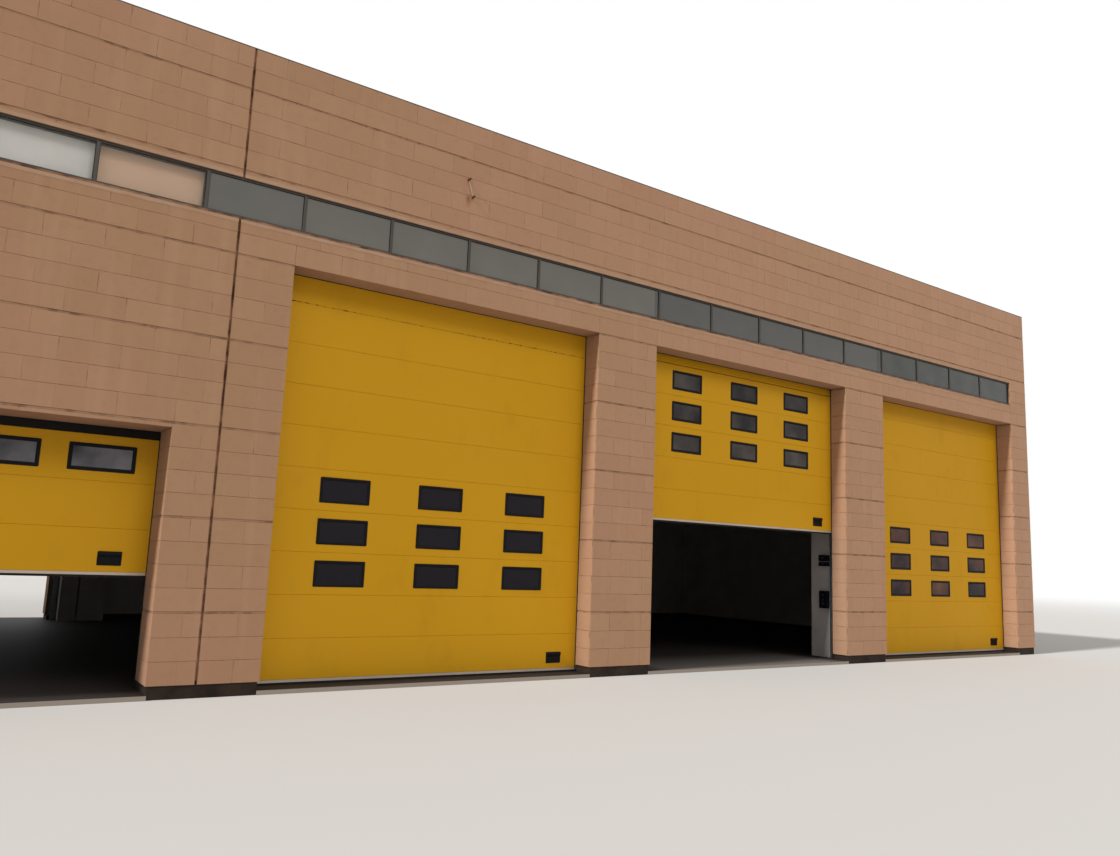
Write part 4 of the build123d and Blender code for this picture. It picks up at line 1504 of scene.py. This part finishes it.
@dataclass
class GlazedBand:
    """Panes with ground edges, their gaskets, closing boards behind the first, and fillets with
    a painted shadow line.

    The gasket's profile runs from the frame inward: inset, and height over the pane.
    """

    plan: Plan
    finishes: Palette
    gasket_profile: tuple[tuple[float, float], ...] = (
        (0.0, 0.0), (0.0, 0.009), (0.003, 0.008), (0.006, 0.0))
    ground_edge: float = 0.002
    pale_panes: int = 4
    tan_panes: int = 1
    board: float = 0.012
    board_gap: float = 0.075
    board_chamfer: float = 0.002
    clearance: float = 0.001
    fillet: float = 0.046
    painted_shadow_line: float = 0.022
    fillet_proud: float = 0.0012
    fillet_root: float = 0.004
    fillet_taper: float = 0.9
    fillet_step: float = 0.16
    fillet_wobble: float = 0.006
    seed: int = 8
    rng: random.Random = field(init=False)

    def __post_init__(self) -> None:
        """Start the seeded draws of the fillets' uneven edges."""
        self.rng = random.Random(self.seed)

    def build(self) -> list[bpy.types.Object]:
        """Make the fillets, the panes, the gaskets and the boards.

        Returns:
            The pieces.
        """
        finishes, boxes = self.finishes, solids_of("glazing_panes")
        front = [pane for pane in boxes if pane.low.y < 0]
        rear = [pane for pane in boxes if pane.low.y > 0]
        covered = front[:self.pale_panes + self.tan_panes]
        panes, gaskets = Shape(finishes.solar, finishes.clear), Shape(finishes.rubber)
        for pane in front + rear:
            _, face, out = pane.depths()
            gaskets.rings([pane.outline(face + out * rise, inset)
                           for inset, rise in self.gasket_profile], closed=True)
        for pane in front[len(covered):] + rear:
            self.pane(panes, pane, finishes.solar)
        for pane in covered:
            self.pane(panes, pane, finishes.clear)
        return [self.fillets(),
                panes.piece("band_panes", Slot.GLASS, ("glazing_panes",)),
                gaskets.piece("glazing_gaskets", Slot.RUBBER),
                self.boards(covered)]

    def pane(self, panes: Shape, pane: Box, finish: bpy.types.Material) -> None:
        """Add a pane with ground edges.

        Args:
            panes: Shape that gets the pane.
            pane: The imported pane's box.
            finish: Its finish.
        """
        near, far, cut = pane.low.y, pane.high.y, self.ground_edge
        panes.rings([pane.outline(y, inset) for y, inset in
                     ((near, cut), (near + cut, 0.0), (far - cut, 0.0), (far, cut))],
                    finish=finish)

    def boards(self, covered: list[Box]) -> bpy.types.Object:
        """Stand a pale board behind the first panes, and a tan one behind those after them.

        Args:
            covered: The panes that have a board behind them, from left to right.

        Returns:
            The piece.
        """
        finishes, glazing, gap = self.finishes, self.plan.glazing, self.clearance
        boards = Shape(finishes.pale_board, finishes.tan_board)
        split = covered[self.pale_panes].low.x
        back = covered[0].high.y + self.board_gap
        for start, end, finish in ((covered[0].low.x, split, finishes.pale_board),
                                   (split, covered[-1].high.x, finishes.tan_board)):
            boards.block(Vector((start + gap, back, glazing.low.z + gap)),
                         Vector((end - gap, back + self.board, glazing.high.z - gap)),
                         self.board_chamfer, finish)
        return boards.piece("closing_boards", Slot.CONCRETE)

    def fillets(self) -> bpy.types.Object:
        """Smear cement over and under the band, with a line of dark sealant at its foot as
        painted shadow.

        Returns:
            The piece.
        """
        plan, cement, sealant = self.plan, self.finishes.cement, self.finishes.sealant
        foot, head = plan.glazing.low.z, plan.glazing.high.z
        fillets = Shape(cement, sealant)
        for face, out in ((plan.front, -1.0), (plan.rear, 1.0)):
            for ends in ((plan.glazing.low.x, plan.joint[0]),
                         (plan.joint[1], plan.glazing.high.x)):
                # Painted shadow: the dark sealant line under the band stands for the shadow
                # under its bottom rail
                for level, reach, finish in ((head, self.fillet, cement),
                                             (foot, -self.painted_shadow_line, sealant),
                                             (foot - self.painted_shadow_line, -self.fillet, cement)):
                    fillets.rings(self.smear(ends, (level, reach), (face, out)),
                                  finish=finish)
        return fillets.piece("glazing_fillets", Slot.STONE)

    def smear(self, ends: tuple[float, float], edge: tuple[float, float],
              face: tuple[float, float]) -> list[list[Place]]:
        """Draw a thin smear on the tiles along the opening, with an uneven far edge.

        Args:
            ends: Where it starts and ends along the building.
            edge: Height of its near edge, and its reach up or down from there.
            face: The y of the wall's face, and the sign of the way out.

        Returns:
            Its outlines, from left to right.
        """
        (start, end), (level, most), (y, out) = ends, edge, face
        count = round((end - start) / self.fillet_step)
        root, near = y - out * self.fillet_root, y + min(0.0, out * self.fillet_proud)
        loops = []
        for number in range(count + 1):
            x = start + (end - start) * number / count
            reach = most - math.copysign(self.rng.uniform(0, self.fillet_wobble), most)
            loops.append([(x, root, level), (x, near, level),
                          (x, near, level + reach * self.fillet_taper),
                          (x, root, level + reach)])
        return loops


@dataclass
class MovementJoint:
    """Sealant gunned by hand into the joint between the two halves of the building.

    At its foot the bead is painted over with the bitumen of the base.
    """

    plan: Plan
    finishes: Palette
    step: float = 0.045
    wobble: float = 0.006
    smear: float = 0.004
    least_smear: float = 0.0005
    smear_height: float = 0.0006
    smear_root: float = 0.004
    smear_lap: float = 0.002
    seed: int = 5
    rng: random.Random = field(init=False)

    def __post_init__(self) -> None:
        """Start the seeded draws of dips and smears."""
        self.rng = random.Random(self.seed)

    def build(self) -> list[bpy.types.Object]:
        """Make the uneven beads.

        Returns:
            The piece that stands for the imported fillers.
        """
        beads = Shape(self.finishes.sealant, self.finishes.bitumen)
        for filler in solids_of("movement_joint_fillers"):
            self.bead(beads, filler)
        return [beads.piece("joint_beads", Slot.SEALANT, ("movement_joint_fillers",))]

    def bead(self, beads: Shape, filler: Box) -> None:
        """Add one bead, and where it stands upright also its smears and its painted foot.

        Args:
            beads: Shape that gets the bead.
            filler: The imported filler's box.
        """
        size = filler.high - filler.low
        level = size.y > size.z
        run = size.y if level else size.z
        count = max(2, round(run / self.step))
        loops = [self.section(filler, level, run * number / count)
                 for number in range(count + 1)]
        if level:
            beads.rings(loops)
            return
        painted = math.ceil(max(0.0, self.plan.base - filler.low.z) / run * count)
        if painted:
            beads.rings(loops[:painted + 1], finish=self.finishes.bitumen)
        beads.rings(loops[painted:])
        self.smears(beads, filler)

    def section(self, filler: Box, level: bool, at: float) -> list[Place]:
        """Draw the bead across, where its outer face sinks and swells.

        Args:
            filler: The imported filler's box.
            level: Whether the bead runs level over the roof instead of up a wall.
            at: How far along the bead.

        Returns:
            The outline's points.
        """
        left, middle, right = filler.low.x, filler.middle.x, filler.high.x
        dip, swell = self.rng.uniform(0, self.wobble), self.rng.uniform(0, self.wobble)
        if level:
            y, foot, top = filler.low.y + at, filler.low.z, filler.high.z
            return [(left, y, foot), (right, y, foot), (right, y, top - dip),
                    (middle, y, top - swell), (left, y, top - dip)]
        back, face, out = filler.depths()
        z = filler.low.z + at
        return [(left, back, z), (left, face - out * dip, z),
                (middle, face - out * (swell + self.wobble / 2), z),
                (right, face - out * swell, z), (right, back, z)]

    def smears(self, beads: Shape, filler: Box) -> None:
        """Add the ragged film of sealant on both edges of the tiles beside the joint.

        Args:
            beads: Shape that gets the film.
            filler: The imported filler's box.
        """
        out = filler.depths()[2]
        face = out * self.plan.rear
        root, film = face - out * self.smear_root, face + min(0.0, out * self.smear_height)
        foot = max(filler.low.z, self.plan.base)
        rise = filler.high.z - foot
        count = round(rise / self.step)
        for edge, side in ((filler.low.x, -1), (filler.high.x, 1)):
            loops = []
            width = self.smear / 2
            lap = edge - side * self.smear_lap
            for number in range(count + 1):
                width = min(self.smear, max(self.least_smear, width + self.smear
                                            * self.rng.uniform(-0.5, 0.5)))
                z = foot + rise * number / count
                far = edge + side * width
                loops.append([(lap, root, z), (lap, film, z), (far, film, z), (far, root, z)])
            beads.rings(loops)


@dataclass
class WallBracket:
    """Two rusty bar ends in the wall with a bleached strap between them.

    A bar's profile is the share of the way out of the wall, and the radius as a share of
    the bar's width.
    """

    finishes: Palette
    bar: float = 0.040
    bar_profile: tuple[tuple[float, float], ...] = (
        (0.0, 0.42), (0.3, 0.46), (0.6, 0.4), (0.9, 0.48), (1.0, 0.36))
    bar_sides: int = 10
    pitted: float = 0.85
    strap_width: float = 0.018
    strap_thickness: float = 0.0035
    strap_crown: float = 0.9
    strap_gap: float = 0.002
    strap_bow: float = 0.008
    strap_steps: int = 8
    seed: int = 3
    rng: random.Random = field(init=False)

    def __post_init__(self) -> None:
        """Start the seeded draws of the pits."""
        self.rng = random.Random(self.seed)

    def build(self) -> list[bpy.types.Object]:
        """Make the bars and the strap.

        Returns:
            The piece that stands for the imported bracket.
        """
        places = [vertex.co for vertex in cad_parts["wall_bracket"].data.vertices]
        packed = Box.around(places)
        tips = [place for place in places if place.y < packed.low.y + WELD]
        split = Box.around(tips).middle.z
        ends = [Box.around([tip for tip in tips if (tip.z > split) == high]).middle
                for high in (False, True)]
        bracket = Shape(self.finishes.rust, self.finishes.strap)
        for end in ends:
            bracket.rings([[self.pit(end, side, width, packed.high.y
                                     + (packed.low.y - packed.high.y) * share)
                            for side in range(self.bar_sides)]
                           for share, width in self.bar_profile])
        bracket.rings(self.strap(*ends, packed.high.y), finish=self.finishes.strap)
        return [bracket.piece("rusty_bracket", Slot.RUST, ("wall_bracket",))]

    def pit(self, axis: Vector, side: int, width: float, y: float) -> Place:
        """Point on a bar's skin, which rust has scaled and pitted.

        Args:
            axis: The x and z of the bar's axis.
            side: Number of the point round the bar.
            width: Radius as a share of the bar's width.
            y: Where along the bar.

        Returns:
            The point.
        """
        angle = 2 * math.pi * side / self.bar_sides
        across, up = (self.bar * width * self.rng.uniform(self.pitted, 1.0) for _ in range(2))
        return axis.x + across * math.cos(angle), y, axis.z + up * math.sin(angle)

    def strap(self, low: Vector, high: Vector, wall: float) -> list[list[Place]]:
        """Draw the strap, bowed a little off the wall.

        Args:
            low: The lower bar's axis.
            high: The upper bar's axis.
            wall: The y of the wall's face.

        Returns:
            Its outlines, from the lower bar up.
        """
        side, thick = self.strap_width / 2, self.strap_thickness
        crown = side * self.strap_crown
        loops = []
        for number in range(self.strap_steps + 1):
            share = number / self.strap_steps
            middle = low.lerp(high, share)
            bow = wall - self.strap_gap - self.strap_bow * math.sin(math.pi * share)
            loops.append([(middle.x + x, bow - y, middle.z) for x, y in
                          ((-side, 0.0), (side, 0.0), (crown, thick), (-crown, thick))])
        return loops


@dataclass
class RoofCovering:
    """Bitumen felt in lapped sheets on the roof, turned up against the parapets."""

    plan: Plan
    finishes: Palette
    width: float = 1.0
    lap: float = 0.08
    fold: float = 0.02
    thickness: float = 0.004
    upstand: float = 0.15
    cant: float = 0.05
    cover: float = 0.1
    bar: float = 0.025
    bar_thickness: float = 0.003
    bar_chamfer: float = 0.002

    def build(self) -> list[bpy.types.Object]:
        """Make the felt and the bars that clamp its edge.

        Returns:
            The pieces.
        """
        plan, rise = self.plan, self.thickness
        left, right = plan.left + plan.wall, plan.right - plan.wall
        front, rear = plan.front + plan.wall, plan.rear - plan.wall
        floor = plan.slabs.high.z
        felt, bars = Shape(self.finishes.felt), Shape(self.finishes.zinc)
        count = math.ceil((right - left - self.lap) / (self.width - self.lap))
        pitch = (right - left - self.lap) / count
        for number in range(count):
            x0 = left + number * pitch
            x1 = x0 + pitch + self.lap
            lap = x1 - self.lap
            fold = lap + self.fold
            section = ((x0, 0.0), (x0, rise), (lap, rise), (fold, 2 * rise), (x1, 2 * rise),
                       (x1, rise), (fold, rise), (lap, 0.0))
            felt.rings([[(x, y, floor + z) for x, z in section] for y in (front, rear)])
        base = floor + rise
        corners = [Vector((x, y, base)) for y in (front, rear) for x in (left, right)]
        for start, end, inward in ((0, 1, Y_AXIS), (2, 3, -Y_AXIS), (0, 2, X_AXIS),
                                   (1, 3, -X_AXIS)):
            self.turn_up(felt, bars, (corners[start], corners[end]), inward)
        return [felt.piece("roof_felt", Slot.ROOF),
                bars.piece("felt_clamping_bars", Slot.ZINC)]

    def turn_up(self, felt: Shape, bars: Shape, ends: tuple[Vector, Vector],
                inward: Vector) -> None:
        """Add the felt's upstand along one wall, with a cant at its foot and a bar on top.

        Args:
            felt: Shape that gets the upstand.
            bars: Shape that gets the bar.
            ends: The two ends of the wall's foot.
            inward: Direction away from the wall.
        """
        skin, cant, flat = self.thickness, self.cant, self.cant + self.cover
        # The upstand's foot covers the laps of the sheets, which are two skins high
        over = 3 * skin
        sheet = ((0.0, 0.0), (flat, 0.0), (flat, over), (cant, over), (skin, cant),
                 (skin, self.upstand), (0.0, self.upstand))
        foot, face = self.upstand - self.bar, skin + self.bar_thickness
        bar = ((skin, foot), (face, foot + self.bar_chamfer),
               (face, self.upstand - self.bar_chamfer), (skin, self.upstand))
        for shape, section in ((felt, sheet), (bars, bar)):
            shape.rings([[end + inward * away + Z_AXIS * up for away, up in section]
                         for end in ends])


@dataclass
class ControlStations:
    """The two door control boxes on a column: bodies, lids and push buttons.

    A button's profile is its rise over the lid, and its radius as a share of the button's.
    The buttons are counted on the upper box, on the switch under it and on the lower box.
    """

    finishes: Palette
    lid: float = 0.022
    seam: float = 0.002
    body_chamfer: float = 0.004
    lid_chamfer: float = 0.005
    button_radius: float = 0.016
    button_sides: int = 20
    button_profile: tuple[tuple[float, float], ...] = (
        (-0.002, 1.25), (0.004, 1.25), (0.004, 1.0), (0.012, 1.0), (0.014, 0.85))
    buttons: tuple[int, int, int] = (1, 1, 3)
    switch_share: float = 0.35
    switch_gap: float = 0.022

    def build(self) -> list[bpy.types.Object]:
        """Make the upper box, which has a switch under it, and the lower box.

        Returns:
            The piece that stands for them.
        """
        boxes = Shape(self.finishes.plastic, self.finishes.button)
        upper, lower = sorted(solids_of("door_control_boxes"), key=lambda box: -box.low.z)
        split = upper.low.z + (upper.high.z - upper.low.z) * self.switch_share
        parts = (Box(Vector((*upper.low.xy, split + self.switch_gap)), upper.high),
                 Box(upper.low, Vector((*upper.high.xy, split))), lower)
        for part, buttons in zip(parts, self.buttons):
            self.station(boxes, part, buttons)
        return [boxes.piece("control_stations", Slot.PLASTIC, ("door_control_boxes",))]

    def station(self, boxes: Shape, box: Box, buttons: int) -> None:
        """Add a box with a lid that stands off by a thin seam, and its buttons.

        Args:
            boxes: Shape that gets the box.
            box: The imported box.
            buttons: How many push buttons its lid carries.
        """
        low, high = box.low, box.high
        seam, face = self.seam, low.x + self.button_profile[-1][0]
        boxes.block(Vector((face + self.lid + seam, low.y + seam, low.z + seam)),
                    Vector((high.x, high.y - seam, high.z - seam)), self.body_chamfer)
        boxes.block(Vector((face, low.y, low.z)), Vector((face + self.lid, high.y, high.z)),
                    self.lid_chamfer)
        angles = [2 * math.pi * side / self.button_sides for side in range(self.button_sides)]
        for number in range(buttons):
            z = low.z + (high.z - low.z) * (number + 1) / (buttons + 1)
            loops = []
            for rise, share in self.button_profile:
                radius = self.button_radius * share
                loops.append([(face - rise, box.middle.y + radius * math.cos(angle),
                               z + radius * math.sin(angle)) for angle in angles])
            boxes.rings(loops, finish=self.finishes.button)


@dataclass
class PackedSolids:
    """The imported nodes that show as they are, each with its finish and softened edges."""

    finishes: dict[str, bpy.types.Material]
    edges: dict[str, float]
    bevel_steps: int = 2

    def dress(self) -> None:
        """Give every shown node its finish, and a narrow bevel where it has one."""
        for node, finish in self.finishes.items():
            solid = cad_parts[node]
            solid.data.materials.clear()
            solid.data.materials.append(finish)
            log.info("%s: %s", node, finish.name)
        for node, width in self.edges.items():
            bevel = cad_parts[node].modifiers.new("worn_edges", "BEVEL")
            bevel.width = width
            bevel.segments = self.bevel_steps
            bevel.limit_method = "ANGLE"


@dataclass
class Studio:
    """Pale floor that fades into a white backdrop, even sky, two soft lights, the camera."""

    backdrop: str = "#FFFFFF"
    floor_colour: str = "#B0ADA9"
    floor_size: float = 600.0
    floor_drop: float = 0.001
    fade_start: float = 24.0
    fade_end: float = 90.0
    sky: float = 0.6
    key_strength: float = 0.95
    key_angle: float = 25.0
    key_turn: tuple[float, float, float] = (50.0, 0.0, 8.0)
    side_strength: float = 4.0
    side_angle: float = 5.0
    side_turn: tuple[float, float, float] = (48.0, 0.0, -85.0)
    lens: float = 28.497
    sensor: float = 36.0
    sight: float = 500.0
    place: tuple[float, float, float] = (-7.619, -15.591, 1.5715)
    yaw: float = 34.521
    pitch: float = 8.553
    roll: float = 2.193

    def build(self) -> None:
        """Set the stage."""
        bpy.context.scene.view_settings.view_transform = "Standard"
        self.build_camera()
        self.build_floor()
        self.build_lights()
        self.build_sky()

    def build_camera(self) -> None:
        """Place the camera where the photograph was taken, turned as it was then."""
        yaw, pitch, roll = (math.radians(angle) for angle in (self.yaw, self.pitch, self.roll))
        ahead = Vector((math.sin(yaw) * math.cos(pitch), math.cos(yaw) * math.cos(pitch),
                        math.sin(pitch)))
        level = Vector((math.cos(yaw), -math.sin(yaw), 0.0))
        upward = level.cross(ahead)
        right = level * math.cos(roll) + upward * math.sin(roll)
        top = upward * math.cos(roll) - level * math.sin(roll)
        data = bpy.data.cameras.new("camera")
        data.sensor_fit = "HORIZONTAL"
        data.sensor_width = self.sensor
        data.lens = self.lens
        data.clip_end = self.sight
        camera = bpy.data.objects.new("camera", data)
        turn = Matrix((right, top, -ahead)).transposed().to_4x4()
        camera.matrix_world = Matrix.Translation(self.place) @ turn
        bpy.context.scene.collection.objects.link(camera)
        bpy.context.scene.camera = camera

    def build_floor(self) -> None:
        """Lay a pale floor under the building, which fades to white far off."""
        recipe = SurfaceRecipe("pale_floor")
        add = recipe.add
        recipe.feed(recipe.shader, {"Base Color": self.floor_colour, "Roughness": 0.9,
                                    "Specular IOR Level": 0.2})
        away = add("ShaderNodeVectorMath", {0: recipe.place}, operation="LENGTH")
        fade = add("ShaderNodeMapRange", {"Value": away, "From Min": self.fade_start,
                                          "From Max": self.fade_end},
                   interpolation_type="SMOOTHSTEP")
        share = add("ShaderNodeMath", {0: fade, 1: recipe.shown()}, operation="MULTIPLY")
        white = add("ShaderNodeEmission", {"Color": self.backdrop})
        both = add("ShaderNodeMixShader", {0: share, 1: recipe.shader, 2: white})
        recipe.feed(recipe.output, {"Surface": both})
        half = self.floor_size / 2
        data = bpy.data.meshes.new("studio_floor")
        data.from_pydata([(x * half, y * half, -self.floor_drop)
                          for x, y in ((-1, -1), (1, -1), (1, 1), (-1, 1))], [],
                         [(0, 1, 2, 3)])
        data.materials.append(recipe.material)
        floor = bpy.data.objects.new("studio_floor", data)
        bpy.context.scene.collection.objects.link(floor)

    def build_lights(self) -> None:
        """Hang a soft key light in front and a lower one along the street front."""
        lights = (("key_light", self.key_strength, self.key_angle, self.key_turn),
                  ("side_light", self.side_strength, self.side_angle, self.side_turn))
        for name, strength, angle, turn in lights:
            data = bpy.data.lights.new(name, "SUN")
            data.energy = strength
            data.angle = math.radians(angle)
            light = bpy.data.objects.new(name, data)
            light.rotation_euler = tuple(math.radians(value) for value in turn)
            bpy.context.scene.collection.objects.link(light)

    def build_sky(self) -> None:
        """Fill the world with even light, which looks white to the eye and in reflections."""
        world = bpy.data.worlds.new("studio_sky")
        bpy.context.scene.world = world
        world.use_nodes = True
        recipe = Recipe(world.node_tree)
        level = recipe.add("ShaderNodeMapRange", {"Value": recipe.shown(), "To Min": self.sky})
        light = recipe.add("ShaderNodeBackground", {"Color": self.backdrop, "Strength": level})
        recipe.add("ShaderNodeOutputWorld", {"Surface": light})


def main() -> None:
    """Build the stage, the finishes and each assembly in turn, and report every piece."""
    logging.basicConfig(level=logging.INFO, format="%(message)s")
    Studio().build()
    plan = Plan.from_frame()
    finishes = Palette(plan)
    assemblies = (Cladding(plan, finishes), WallCores(plan, finishes),
                  DoorFittings(plan, finishes), GlazedBand(plan, finishes),
                  MovementJoint(plan, finishes), WallBracket(finishes),
                  RoofCovering(plan, finishes), ControlStations(finishes))
    for assembly in assemblies:
        for piece in assembly.build():
            log.info("%s: %d faces", piece.name, len(piece.data.polygons))
    leaves = {name + "_leaf": finishes.coat
              for name in ("door_1", "door_2", "door_3", "door_4", "rear_door")}
    PackedSolids(
        finishes={
            "floor_slab": finishes.floor, "wall_plinths": finishes.bitumen,
            "front_columns": finishes.concrete, "rear_columns": finishes.concrete,
            "roof_beams": finishes.concrete, "roof_slabs": finishes.concrete,
            "parapet_coping": finishes.anodised, "glazing_frames": finishes.anodised,
            "door_window_glass": finishes.acrylic, "door_bottom_bars": finishes.mill,
            "door_seals": finishes.rubber, "door_tracks": finishes.zinc,
            "track_hangers": finishes.zinc, "door_rollers": finishes.nylon} | leaves,
        edges={"front_columns": 0.012, "rear_columns": 0.012, "roof_beams": 0.012,
               "door_bottom_bars": 0.002, "door_seals": 0.005}).dress()


if __name__ == "__main__":
    main()
